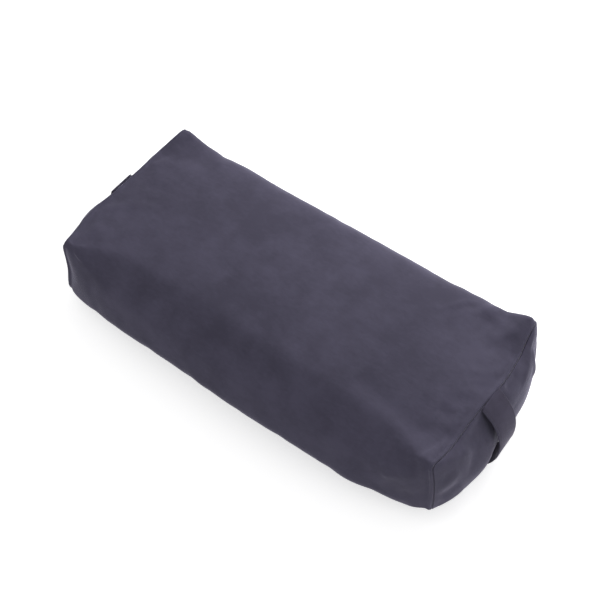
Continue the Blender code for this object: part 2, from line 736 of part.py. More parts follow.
def make_pull(collection):
    """Flat tab that hangs on the bridge by its end bar and swings about it."""
    half_neck = PULL_NECK_WIDTH / 2
    half_window = PULL_WINDOW_WIDTH / 2
    bar = PULL_BAR / 2
    window_end = -bar - PULL_WINDOW_LENGTH
    window = [(window_end, -half_window), (-bar, -half_window)]
    window += [(x, -z) for x, z in reversed(window)]
    tip = bar - PULL_LENGTH
    shoulder = window_end - PULL_BAR
    rounded = round_outline((tip, -PULL_WIDTH / 2), (shoulder, PULL_WIDTH / 2), PULL_CORNER_RADIUS)
    tab = [point for point in rounded if point[0] < (tip + shoulder) / 2]
    tab += [(shoulder, -half_neck), (bar, -half_neck), (bar, half_neck), (shoulder, half_neck)]
    hole_x = tip + PULL_WIDTH / 2
    hole = []
    for i in range(PULL_HOLE_STEPS):
        angle = 2 * math.pi * i / PULL_HOLE_STEPS
        hole.append((hole_x + PULL_HOLE_RADIUS * math.cos(angle), PULL_HOLE_RADIUS * math.sin(angle)))
    pull = plate("zip_pull", [tab, window, hole], PULL_THICKNESS, collection, "zip metal")
    outer_face = back_face_y() - COVER_CLOTH + CHAIN_THICKNESS + RUNNING_GAP + SLIDER_PLATE
    pull.location = (SLIDER_X, outer_face + PULL_ABOVE_PLATE, ZIP_Z)


def make_liner(collection):
    """Inner bag round the wadding, a wrap and two end panels like the cover's."""
    end = station_at(LINER_RIM_STEP)
    stations = insert_stations(end)
    rings = outer_and_inner(stations, LINER_INSET, LINER_CLOTH, ZIP_ROOM, LINER_END_ROOM)
    loft("liner_wrap", rings, collection, "liner cloth")
    layer = (LINER_INSET + LINER_END_ROOM + LINER_CLOTH + CLOTH_GAP, LINER_CLOTH)
    for name, side in ENDS.items():
        node = f"liner_end_{name}"
        domed_cup(node, side, end, layer, LINER_ALLOWANCE, collection, "liner cloth", ZIP_ROOM)


def foam_ring(x, room):
    """Outline of the foam core at x, moved out by room."""
    half_width = FOAM_WIDTH / 2 + room
    low = (SEAM_HEIGHT - FOAM_HEIGHT) / 2 - room
    high = (SEAM_HEIGHT + FOAM_HEIGHT) / 2 + room
    radii = [SLAB_EDGE] * 4
    return [Vector((x, y, z)) for y, z in outline(half_width, low, high, *radii)]


def wadding_inset(from_seam):
    return WADDING_INSET + WADDING_END_ROOM * allowance_room(from_seam)


def make_wadding(collection):
    """Wadding round the foam core, and a domed pad on each of its ends."""
    foam_end = FOAM_LENGTH / 2
    between = [station * SEAM_LENGTH / 2 for station in length_stations()]
    places = [-foam_end, *(x for x in between if abs(x) < foam_end - SLAB_THICKNESS), foam_end]
    outer = [flat_ring(x, wadding_inset, ZIP_ROOM) for x in places]
    inner = [foam_ring(x, SEAT_GAP) for x in reversed(places)]
    loft("batting_wrap", outer + inner, collection, "wadding")

    inset = wadding_inset(WADDING_RIM_STEP)
    for name, side in ENDS.items():
        rim = stuffed_ring(side * station_at(WADDING_RIM_STEP), inset, ZIP_ROOM)
        dome, tip = dome_rings(rim, side)
        back_x = side * (foam_end + SEAT_GAP)
        back = flat_ring(back_x, wadding_inset, ZIP_ROOM)
        centre = Vector((back_x, 0, SEAM_HEIGHT / 2))
        loft(f"batting_end_{name}", [*dome, rim, back], collection, "wadding", tips=(tip, centre))


def make_foam(collection):
    """Three foam slabs, one on another."""
    low = (SEAM_HEIGHT - FOAM_HEIGHT) / 2
    for i, level in enumerate(("bottom", "middle", "top")):
        foot = low + i * (SLAB_THICKNESS + SEAT_GAP)
        slab = box(
            f"foam_core_{level}",
            (-FOAM_LENGTH / 2, -FOAM_WIDTH / 2, foot),
            (FOAM_LENGTH / 2, FOAM_WIDTH / 2, foot + SLAB_THICKNESS),
            collection,
            "foam",
            SLAB_EDGE,
        )
        slab.location.y = centre_shift()


def main():
    for obj in list(bpy.data.objects):
        bpy.data.objects.remove(obj)
    bolster = bpy.data.collections.new("yoga_bolster")
    helpers = bpy.data.collections.new("cutters")
    for collection in (bolster, helpers):
        bpy.context.scene.collection.children.link(collection)
    make_cover(bolster, helpers)
    make_binding(bolster)
    make_handles(bolster)
    make_zip(bolster)
    make_slider(bolster, helpers)
    make_pull(bolster)
    make_liner(bolster)
    make_wadding(bolster)
    make_foam(bolster)


if __name__ == "__main__":
    main()
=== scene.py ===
"""Looks of a rectangular yoga bolster: stuffed suede cover, carry handles, zip and insert.

Lengths are in metres. X runs along the bolster, the zip is on the back (+Y), and the floor
is at Z = 0. The cover's surface repeats the construction's section formula on a fine grid.
"""

import math

import bmesh
import bpy
import numpy as np
from bpy.props import FloatProperty, FloatVectorProperty, PointerProperty
from mathutils import Matrix, Vector, noise


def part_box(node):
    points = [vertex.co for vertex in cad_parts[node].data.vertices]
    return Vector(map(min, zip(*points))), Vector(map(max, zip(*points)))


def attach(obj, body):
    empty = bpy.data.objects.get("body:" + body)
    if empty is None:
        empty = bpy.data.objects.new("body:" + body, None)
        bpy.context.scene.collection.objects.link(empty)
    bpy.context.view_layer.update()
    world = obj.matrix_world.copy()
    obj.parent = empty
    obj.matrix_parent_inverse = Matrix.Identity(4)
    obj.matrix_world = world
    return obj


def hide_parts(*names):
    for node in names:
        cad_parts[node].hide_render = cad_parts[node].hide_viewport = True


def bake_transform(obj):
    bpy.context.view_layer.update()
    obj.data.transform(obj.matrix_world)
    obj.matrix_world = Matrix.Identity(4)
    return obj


bl_info = {
    "name": "Yoga Bolster",
    "version": (1, 0, 0),
    "blender": (4, 5, 0),
    "location": "View3D > Sidebar > Bolster",
    "description": "Dresses a stuffed rectangular bolster with its cover, handles, zip and insert",
    "category": "Object",
}

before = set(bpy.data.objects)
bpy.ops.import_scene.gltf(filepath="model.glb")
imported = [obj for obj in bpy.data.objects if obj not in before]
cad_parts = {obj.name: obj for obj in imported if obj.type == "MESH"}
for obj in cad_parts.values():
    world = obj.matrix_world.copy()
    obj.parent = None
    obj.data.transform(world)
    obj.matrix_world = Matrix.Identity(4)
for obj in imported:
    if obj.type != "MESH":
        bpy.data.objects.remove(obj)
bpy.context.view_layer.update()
ENDS = {"near": 1, "far": -1}

# Section of the stuffed cover
SEAM_WIDTH = 0.260
SEAM_HEIGHT = 0.130
SEAM_LENGTH = 0.634
BACK_TOP_RADIUS_MIDDLE = 0.0215
FRONT_TOP_RADIUS_MIDDLE = 0.038
TOP_RADIUS_END = 0.009
FRONT_FOOT_RADIUS_MIDDLE = 0.062
FRONT_FOOT_RADIUS_END = 0.040
BACK_FOOT_RADIUS = 0.030
FRONT_FOOT_BLEND = 0.231
FRONT_EDGE_BLEND = 0.110
BACK_EDGE_BLEND = 0.095

# How the stuffing swells the cloth between the seams
TOP_CROWN = 0.0072
FRONT_BELLY = 0.0385
FRONT_BELLY_LEVEL = 0.13
FRONT_BELLY_FALL = 1.2
BACK_BELLY = 0.0084
BACK_BELLY_START = 0.058
BACK_BELLY_RISE = 0.042
END_CROWN = {1: 0.028, -1: 0.021}
END_CROWN_POWER = {1: 2.8, -1: 1.9}
SEAM_BOW_ACROSS = 0.0103
SEAM_BOW_UPRIGHT = 0.0079
SEAM_LEAN = -0.0074
CORNER_REACH = 0.055
EAR_OUT = 0.0005
EAR_UP = 0.0125
EAR_START = 0.55
EAR_RISE = 0.45
FOOT_LIFT = 0.008
FOOT_LIFT_START = 0.7
FOOT_LIFT_RISE = 0.3
FOOT_LIFT_LEVEL = 0.35
SMALLEST_RADIUS = 0.0015
HANDLE_HOLLOW = 0.006
HANDLE_HOLLOW_WIDTH = 0.045

# Where the stuffing sits fuller or slacker than the even section: a place on the cover, how
# far round it the cloth gives, and how far it moves there
SLACK = {
    "far front foot, fuller": ((-0.300, -0.118, 0.030), 0.075, (-0.001, -0.0060, -0.0015)),
    "far front seam, drawn in below the ear": ((-0.300, -0.120, 0.062), 0.042, (0.0036, 0.0010, 0.0)),
    "far front ear, dropped": ((-0.296, -0.116, 0.134), 0.055, (0.0010, -0.0045, -0.0055)),
    "far top seam, pushed out": ((-0.306, -0.056, 0.130), 0.056, (-0.0046, 0.0, 0.0010)),
    "far top seam, pushed out at the back": ((-0.300, 0.088, 0.131), 0.045, (-0.0022, 0.0, 0.0006)),
    "front belly, slacker towards the far end": ((-0.120, -0.140, 0.055), 0.160, (0.0, 0.0032, 0.0)),
    "front belly, fuller before the near end": ((0.198, -0.142, 0.050), 0.042, (0.0, -0.0022, 0.0)),
    "front belly, slacker near the end": ((0.242, -0.140, 0.055), 0.050, (0.0, 0.0038, 0.0)),
    "near back ear, pulled up": ((0.284, 0.138, 0.138), 0.034, (0.0, 0.0010, 0.0042)),
    "near back ear, filled": ((0.272, 0.106, 0.136), 0.034, (0.0, 0.0, 0.0040)),
    "near back ear, rounded at its tip": ((0.303, 0.142, 0.143), 0.018, (-0.0008, -0.0008, -0.0036)),
    "near back edge, fuller before the ear": ((0.214, 0.138, 0.129), 0.062, (0.0, 0.0026, 0.0024)),
    "far back edge, fuller": ((-0.196, 0.136, 0.128), 0.080, (0.0, 0.0022, 0.0020)),
    "near back seam, drawn in": ((0.314, 0.120, 0.124), 0.036, (-0.0030, -0.0012, 0.0)),
    "near front foot, lifted": ((0.302, -0.114, 0.006), 0.038, (0.0020, 0.0020, 0.0125)),
    "near end, fuller low down": ((0.330, -0.060, 0.056), 0.070, (0.0016, 0.0, -0.0005)),
    "near panel, fuller beside the handle": ((0.332, -0.024, 0.066), 0.050, (0.0056, 0.0, 0.0)),
    "near seam, drawn in beside the handle": ((0.310, -0.022, 0.130), 0.085, (-0.0052, 0.0, 0.0010)),
}

# Folds of the top: the places that a fold runs through as x and y, its half width and its
# height, which is below zero for a valley
FOLDS = {
    "crease round the ear": (
        ((0.191, 0.097), (0.195, 0.110), (0.204, 0.121), (0.219, 0.130)), 0.0036, 0.0016,
    ),
    "valley inside it": (((0.197, 0.094), (0.202, 0.106), (0.219, 0.119)), 0.0045, -0.0007),
    "second crease round the ear": (((0.203, 0.099), (0.211, 0.110), (0.224, 0.117)), 0.0034, 0.0009),
    "ear ridge": (((0.222, 0.126), (0.242, 0.126), (0.260, 0.118), (0.282, 0.104)), 0.0095, 0.0024),
    "crease along the back edge of the ear": (
        ((0.232, 0.139), (0.248, 0.136), (0.264, 0.129)), 0.0030, 0.0018,
    ),
    "ear fold towards the seam": (((0.270, 0.119), (0.284, 0.112), (0.297, 0.103)), 0.0050, 0.0013),
    "valley before the ear": (
        ((0.224, 0.110), (0.244, 0.109), (0.262, 0.104), (0.280, 0.090)), 0.0080, -0.0010,
    ),
    "gather by the seam": (((0.283, 0.087), (0.297, 0.088)), 0.0032, -0.0012),
    "pull beside the handle": (((0.258, 0.030), (0.280, 0.040), (0.296, 0.053)), 0.0050, 0.0010),
    "pull below it": (((0.266, 0.014), (0.284, 0.020), (0.298, 0.034)), 0.0045, -0.0009),
    "dent before the handle": (((0.256, -0.035), (0.270, -0.038), (0.283, -0.038)), 0.0085, -0.0042),
    "short pucker by the seam": (((0.281, -0.058), (0.296, -0.052)), 0.0034, 0.0010),
    "next short pucker": (((0.286, -0.070), (0.299, -0.064)), 0.0032, -0.0009),
    "crease on the top": (((0.226, 0.010), (0.236, -0.012), (0.238, -0.038)), 0.0060, 0.0008),
    "long soft hollow of the top": (
        ((0.150, -0.060), (0.230, -0.075), (0.285, -0.088)), 0.0140, -0.0022,
    ),
    "far gather": (((-0.300, 0.066), (-0.284, 0.070)), 0.0036, 0.0012),
    "second far gather": (((-0.299, 0.087), (-0.282, 0.093)), 0.0036, -0.0012),
    "third far gather": (((-0.297, 0.104), (-0.278, 0.111)), 0.0040, 0.0014),
    "far pull towards the middle": (
        ((-0.296, -0.040), (-0.262, -0.010), (-0.232, 0.004)), 0.0080, 0.0012,
    ),
    "crease along the back edge": (((-0.232, 0.122), (-0.206, 0.124)), 0.0034, 0.0010),
}

# Folds of the front and of the near panel, with all three coordinates of each place
SIDE_FOLDS = {
    "roll up to the front seam": (
        (
            (0.236, -0.131, 0.082),
            (0.262, -0.127, 0.098),
            (0.284, -0.121, 0.118),
            (0.296, -0.117, 0.132),
        ),
        0.0080,
        0.0030,
    ),
    "valley above the roll": (
        ((0.236, -0.128, 0.112), (0.258, -0.124, 0.124), (0.280, -0.118, 0.134)),
        0.0085,
        -0.0030,
    ),
    "valley below the roll": (
        ((0.258, -0.134, 0.050), (0.284, -0.127, 0.066), (0.302, -0.121, 0.072)),
        0.0070,
        -0.0020,
    ),
    "crease along the front": (
        ((-0.056, -0.127, 0.108), (-0.040, -0.128, 0.109), (-0.024, -0.128, 0.109)), 0.0034, 0.0008,
    ),
    "panel roll": (
        ((0.309, -0.111, 0.084), (0.316, -0.097, 0.094), (0.321, -0.081, 0.101)), 0.0110, 0.0013,
    ),
    "panel valley": (
        ((0.311, -0.109, 0.062), (0.319, -0.094, 0.070), (0.324, -0.080, 0.076)), 0.0100, -0.0017,
    ),
    "panel rim roll": (
        ((0.309, -0.108, 0.036), (0.320, -0.092, 0.040), (0.328, -0.070, 0.044)), 0.0100, 0.0010,
    ),
    "panel wrinkle": (((0.311, -0.070, 0.124), (0.319, -0.052, 0.112)), 0.0050, 0.0014),
    "second panel wrinkle": (((0.315, -0.058, 0.120), (0.323, -0.036, 0.108)), 0.0050, -0.0012),
    "panel hollow by the back of the seam": (
        ((0.309, 0.040, 0.124), (0.310, 0.072, 0.124)), 0.0085, -0.0022,
    ),
    "panel fold at the back": (
        ((0.309, 0.112, 0.126), (0.315, 0.110, 0.108), (0.321, 0.106, 0.080)), 0.0065, 0.0026,
    ),
}
FOLD_END = 0.007
TOP_FOLD_UPRIGHT = (1, 1, 0.4)

# Listed folds grow to their height over this distance from an end seam of the wrap
FOLDS_FROM_SEAM = 0.004

# The furthest that any fold may press the cloth in towards the liner
INWARD_LIMIT = 0.0034

# Cell of the grid on which the cover's rims are measured, and how much finer the end panels
# are than the cover's own cell
FINE_CELL = 0.002
PANEL_FINENESS = 1.25

# Rows of the wrap at an end seam: the allowance's distance from it and how far in it turns
# past the rounding, the rounding's distance from the seam and its facets, and the rows that
# lead up to it, as distances from where the rounding ends
ALLOWANCE_PLACE = 0.0002
ALLOWANCE_REACH = (0.0055, 0.0025)
ROUND_START = 0.0003
ROUND_FACETS = 4
APPROACH = (0.0010, 0.0022, 0.0036, 0.0054, 0.0078, 0.0110)
APPROACH_END = 0.0140

# How the spare cloth settles: frames of the simulation, rounds of smoothing that give the
# broad swelling and then soften the folds, and the ripple that the cloth starts with
SETTLING_FRAMES = 20
SWELLING_ROUNDS = 24
SOFTENING_ROUNDS = 2
START_RIPPLE = 0.0003
START_RIPPLE_SIZE = 0.02

# Settled folds keep this share of their depth in the middle of the wrap, past a zone at each
# end, and on the end panels
MIDDLE_FOLDS = 0.4
FOLDED_ZONE = 0.16
PANEL_FOLDS = 0.45

# What holds the wrap while it settles: its end seams, the zip's slot in the back, and the
# floor
SEAM_HOLD = 0.012
SLOT_HOLD_START = 0.004
SLOT_HOLD_FADE = 0.01
SLOT_DEPTH = 0.02
FLOOR_HOLD = 0.7
FLOOR_TOUCH = 0.002

# Relief beside an end seam, as height, distance from the seam and half width: the roll of
# cloth over the seam allowance, and the hollow where it ends
SEAM_ROLL = (0.0009, 0.0034, 0.0019)
SEAM_HOLLOW = (0.0005, 0.0085, 0.0030)

# Small gathers beside an end seam: how many times the pucker depth they rise, where they lie
# and their half width, then the size, stretch and limits of their noise
GATHER_RISE = 1.6
GATHER_PLACE = 0.006
GATHER_WIDTH = 0.009
GATHER_SIZE = 0.011
GATHER_STRETCH = (0.15, 1, 1)
GATHER_LOW = -0.6
GATHER_HIGH = 1.0

# Raised border of the cloth round the zip's slot
PLACKET_RISE = 0.0005
PLACKET_WIDTH = 0.005
PLACKET_EDGE = 0.0015

# End panels: the inset of their rim, and then the edge of the cloth as it turns into the
# seam, as insets and stand-outs
PANEL_INSET = 0.0022
PANEL_TURN = ((0.0019, 0.0009), (0.0023, 0.0004), (0.0036, 0.0001), (0.0080, 0.0001))

# Where things start to change on the way from a panel's middle at 0 to its rim at 1, and over
# how much of the way: the slack ends, the hold grows, the gathers end and the folds end
PANEL_SLACK_END = (0.80, 0.2)
PANEL_HOLD = (0.90, 0.08)
PANEL_GATHERS_END = (0.96, 0.03)
PANEL_FOLDS_END = (0.93, 0.06)

# The panels' gathers, with their half width as a share of the same way
PANEL_GATHER_RISE = 1.5
PANEL_GATHER_WIDTH = 0.09
PANEL_GATHER_SIZE = 0.012
PANEL_GATHER_STRETCH = (0.2, 1, 1)

# Rings of the liner's ends and the wadding's end pads, as shares of the way from their middle
# to their rim, and the same for a pad's flat back; the cap in the middle of a liner's end
# takes the edges within its first ring times a margin
DOME_SHARES = (0.04, 0.14, 0.28, 0.42, 0.56, 0.68, 0.78, 0.86, 0.92, 0.96, 0.985, 1.0)
PAD_BACK_SHARES = (0.8, 0.5, 0.2)
CAP_MARGIN = 1.05

# Line of the near handle as x and z from where the end seams cross its middle, for its two
# ends and for the pulls that bow it out
HANDLE_TOP_SEAM = (0.0002, 0.0002)
HANDLE_TOP_PULL = (0.0585, -0.0340)
HANDLE_FOOT_PULL = (0.0285, 0.0075)
HANDLE_FOOT_SEAM = (0.0004, 0.0010)

# The far handle lies this far off its panel, and ends this far inside the seams
HANDLE_LYING_GAP = 0.0012
HANDLE_LYING_ROOM = 0.001

# The folded strip: its rows along the handle, the length that its flat places run over, and
# its cross-section as a rounded oblong that is pressed in along the stitching
HANDLE_ROWS = 57
STRIP_LENGTH = 0.2
STRIP_SIDES = 40
STRIP_EDGE_POWER = 0.25
STRIP_FACE_POWER = 0.55
STITCH_PRESS = 0.22
STITCH_PRESS_WIDTH = 0.0011

# Half of the thread that shows of a stitch, as a share of its length with the gap
STITCH_HALF_LINK = 0.38

# Layers under the cover, as distances in from its outer face, with more room at the ends and
# behind the zip
BINDING_INSET = 0.0058
LINER_INSET = 0.0052
LINER_END_ROOM = 0.0035
LINER_END_GAP = 0.0014
WADDING_INSET = 0.0074
WADDING_END_ROOM = 0.002
ZIP_ROOM = 0.0034

# The end rooms are full this far from an end seam, and then fade
ALLOWANCE_ZONE = 0.014
ALLOWANCE_FADE = 0.034

# The same layers along the bolster, as distances from the cover's end seams
BINDING_REACH = (0.005, 0.011)
LINER_SEAM = 0.0045
LINER_END_SEAM = 0.0052
LINER_END_ALLOWANCE = 0.006
WADDING_END = 0.0075

# Thickness of the inner cloths, the wadding's room round the foam, how far it stops short of
# the foam's ends, and the radii of its hollow's corners and of the foam's edges
INNER_CLOTH = 0.0008
FOAM_ROOM = 0.0006
WADDING_SHORT = 0.001
WADDING_HOLE_RADIUS = 0.004
FOAM_EDGE = 0.004

# Grids of the layers: cell round the section, steps along the liner as stations, and steps
# along the wadding
LAYER_CELL = 0.010
LINER_STEP = 0.03
WADDING_STEP = 0.02

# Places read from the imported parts: the cover's back face, the zip's middle and its slot
TAPE_BEHIND_FACE = 0.0017
BACK_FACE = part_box("zip_tape_upper")[1][1] + TAPE_BEHIND_FACE
SHIFT = BACK_FACE - SEAM_WIDTH / 2
ZIP_Z = (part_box("zip_teeth_upper")[1][2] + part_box("zip_teeth_lower")[0][2]) / 2
SLOT_HALF_HEIGHT = 0.0075
SLOT_END_ROOM = 0.002
SLOT_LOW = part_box("zip_bottom_stop")[0][0] - SLOT_END_ROOM
SLOT_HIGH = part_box("zip_top_stop_upper")[1][0] + SLOT_END_ROOM

# The zip: how far its stitching lies out from the slot's edges and off the back face, points
# of its woven tapes along and across, and the rounding of its parts' edges
ZIP_STITCH_OUT = 0.0042
ZIP_STITCH_RISE = 0.0006
TAPE_POINTS = (120, 13)
TEETH_EDGE = 0.00025
STOP_EDGE = 0.0001
SLIDER_EDGE = 0.0003

# Where the camera aims: a height over the floor, then steps to its right and up
AIM_HEIGHT = 0.0672
AIM_RIGHT = 0.007656
AIM_UP = 0.014497

# Lamps, as place, size and power in watts
LAMPS = {
    "back softbox": ((0.05, 0.66, 0.44), (1.1, 0.35), 5.8),
    "front softbox": ((-1.4, -1.2, 1.9), (2.2, 2.2), 6.0),
    "end softbox": ((1.3, 0.2, 0.4), (0.8, 0.8), 1.4),
}
LAMP_AIM = (0, 0, 0.06)

# Light of the world, what it adds where the camera sees it, and the floor's width and depth
# under the bolster
WORLD_LIGHT = 0.60
WORLD_SEEN = 0.40
FLOOR_SIZE = 24
FLOOR_DROP = 0.0005


def ease(t):
    """Smooth step from 0 to 1, for a number or an array."""
    t = np.clip(t, 0.0, 1.0)
    return t * t * (3 - 2 * t)


def blend(a, b, share):
    """Value at a share of the way from a to b."""
    return a + (b - a) * share


def past(value, start, width):
    """Smooth step from 0 to 1 where a value passes a start, over a width."""
    return ease((value - start) / width)


def mound(distance, height, middle, width):
    """Rounded rise of a height, at a middle distance and with a half width."""
    return height * np.exp(-((distance - middle) / width) ** 2)


def give(points):
    """Points of the cover moved where the stuffing is fuller or slacker."""
    moved = points.copy()
    for place, reach, move in SLACK.values():
        distance = np.linalg.norm(points - np.array(place), axis=-1)
        moved += np.array(move) * (1 - ease(distance / reach))[..., None]
    return moved


def fold_heights(points):
    """How far the listed folds raise the cloth at each point."""
    raised = np.zeros(points.shape[:-1])
    for route, width, height in FOLDS.values():
        route = [(x, y, SEAM_HEIGHT) for x, y in route]
        route = np.array(route) * TOP_FOLD_UPRIGHT
        raised += fold_height(points * TOP_FOLD_UPRIGHT, route, width, height)
    for route, width, height in SIDE_FOLDS.values():
        raised += fold_height(points, np.array(route), width, height)
    return raised


def fold_height(points, route, width, height):
    """Rounded ridge or valley along a route, fading out at both of its ends."""
    steps = np.diff(route, axis=0)
    lengths = np.linalg.norm(steps, axis=1)
    before = np.concatenate([[0], np.cumsum(lengths)])
    nearest = np.full(points.shape[:-1], np.inf)
    travel = np.zeros(points.shape[:-1])
    for start, step, length, passed in zip(route, steps, lengths, before):
        share = np.clip(((points - start) @ step) / length**2, 0.0, 1.0)
        distance = np.linalg.norm(points - (start + share[..., None] * step), axis=-1)
        closer = distance < nearest
        nearest = np.where(closer, distance, nearest)
        travel = np.where(closer, passed + share * length, travel)
    fade = ease(np.minimum(travel, before[-1] - travel) / FOLD_END)
    return mound(nearest, height, 0.0, width) * fade


class CoverSettings(bpy.types.PropertyGroup):
    """Cloth of the cover and how it creases."""

    cloth: FloatProperty(
        name="Cloth",
        description="Thickness of the cover cloth",
        default=0.0014,
        min=0.0005,
        unit="LENGTH",
    )
    cell: FloatProperty(
        name="Cell",
        description="Grid size of the cover's surface before it is subdivided",
        default=0.0042,
        min=0.002,
        unit="LENGTH",
    )
    growth: FloatProperty(
        name="Spare Cloth",
        description="Share by which the cloth is larger than the stuffing needs",
        default=0.022,
        min=0.0,
        max=0.1,
    )
    pressure: FloatProperty(
        name="Stuffing Pressure",
        description="Pressure of the stuffing while the cloth settles",
        default=4.0,
        min=0.0,
    )
    fold_depth: FloatProperty(
        name="Fold Depth",
        description="Furthest that a fold moves the cloth",
        default=0.004,
        min=0.0,
        unit="LENGTH",
    )
    pucker: FloatProperty(
        name="Pucker Depth",
        description="Depth of the small gathers beside the end seams",
        default=0.0005,
        min=0.0,
        unit="LENGTH",
    )
    seam_round: FloatProperty(
        name="Seam Rounding",
        description="Radius at which the cloth turns into an end seam",
        default=0.0017,
        min=0.0005,
        unit="LENGTH",
    )


class HandleSettings(bpy.types.PropertyGroup):
    """Carry handles on the end panels."""

    thickness: FloatProperty(
        name="Thickness",
        description="Thickness of the folded strip",
        default=0.0024,
        min=0.001,
        unit="LENGTH",
    )
    edge_stitch: FloatProperty(
        name="Edge Stitch",
        description="Distance of the stitching from the strip's edges",
        default=0.0030,
        min=0.001,
        unit="LENGTH",
    )


class StitchSettings(bpy.types.PropertyGroup):
    """Sewing thread."""

    length: FloatProperty(
        name="Stitch Length",
        description="Length of one stitch with its gap",
        default=0.0030,
        min=0.001,
        unit="LENGTH",
    )
    thread: FloatProperty(
        name="Thread",
        description="Diameter of the sewing thread",
        default=0.00045,
        min=0.0001,
        unit="LENGTH",
    )


def colour_setting(name, description, default):
    """Colour that a user can change, with its name, description and default."""
    return FloatVectorProperty(
        name=name,
        description=description,
        subtype="COLOR",
        size=3,
        default=default,
        min=0.0,
        max=1.0,
    )


class FinishSettings(bpy.types.PropertyGroup):
    """Colours of the cloths, threads, zip and stuffing."""

    cover: colour_setting("Cover Cloth", "Colour of the suede cover", (0.060, 0.055, 0.086))
    handle: colour_setting("Handle Cloth", "Colour of the carry handles", (0.054, 0.048, 0.075))
    thread: colour_setting("Thread", "Colour of the sewing thread", (0.050, 0.045, 0.068))
    tape: colour_setting("Zip Tape", "Colour of the zip's woven tapes", (0.045, 0.042, 0.060))
    teeth: colour_setting("Zip Teeth", "Colour of the moulded teeth", (0.030, 0.029, 0.038))
    metal: colour_setting(
        "Zip Metal", "Colour of the lacquered slider, pull and stops", (0.070, 0.068, 0.080)
    )
    liner: colour_setting("Liner Cloth", "Colour of the insert's cotton bag", (0.660, 0.640, 0.580))
    wadding: colour_setting("Wadding", "Colour of the wadding", (0.800, 0.800, 0.780))
    foam: colour_setting("Foam", "Colour of the foam slabs", (0.640, 0.590, 0.400))


class StageSettings(bpy.types.PropertyGroup):
    """Camera and light."""

    azimuth: FloatProperty(
        name="Azimuth",
        description="Direction of the camera round the bolster",
        default=math.radians(35.366),
        subtype="ANGLE",
    )
    elevation: FloatProperty(
        name="Elevation",
        description="Height of the camera above the horizon",
        default=math.radians(54.534),
        subtype="ANGLE",
    )
    roll: FloatProperty(
        name="Roll",
        description="Turn of the camera about its own axis",
        default=math.radians(0.604),
        subtype="ANGLE",
    )
    distance: FloatProperty(
        name="Distance",
        description="Distance of the camera from its target",
        default=1.51987,
        min=0.5,
        unit="LENGTH",
    )
    lens: FloatProperty(
        name="Lens",
        description="Focal length for a sensor 36 mm wide, in millimetres",
        default=65.47,
        min=10.0,
    )
    floor_glow: FloatProperty(
        name="Floor Glow",
        description="Light that the floor adds where the camera sees it",
        default=0.55,
        min=0.0,
    )


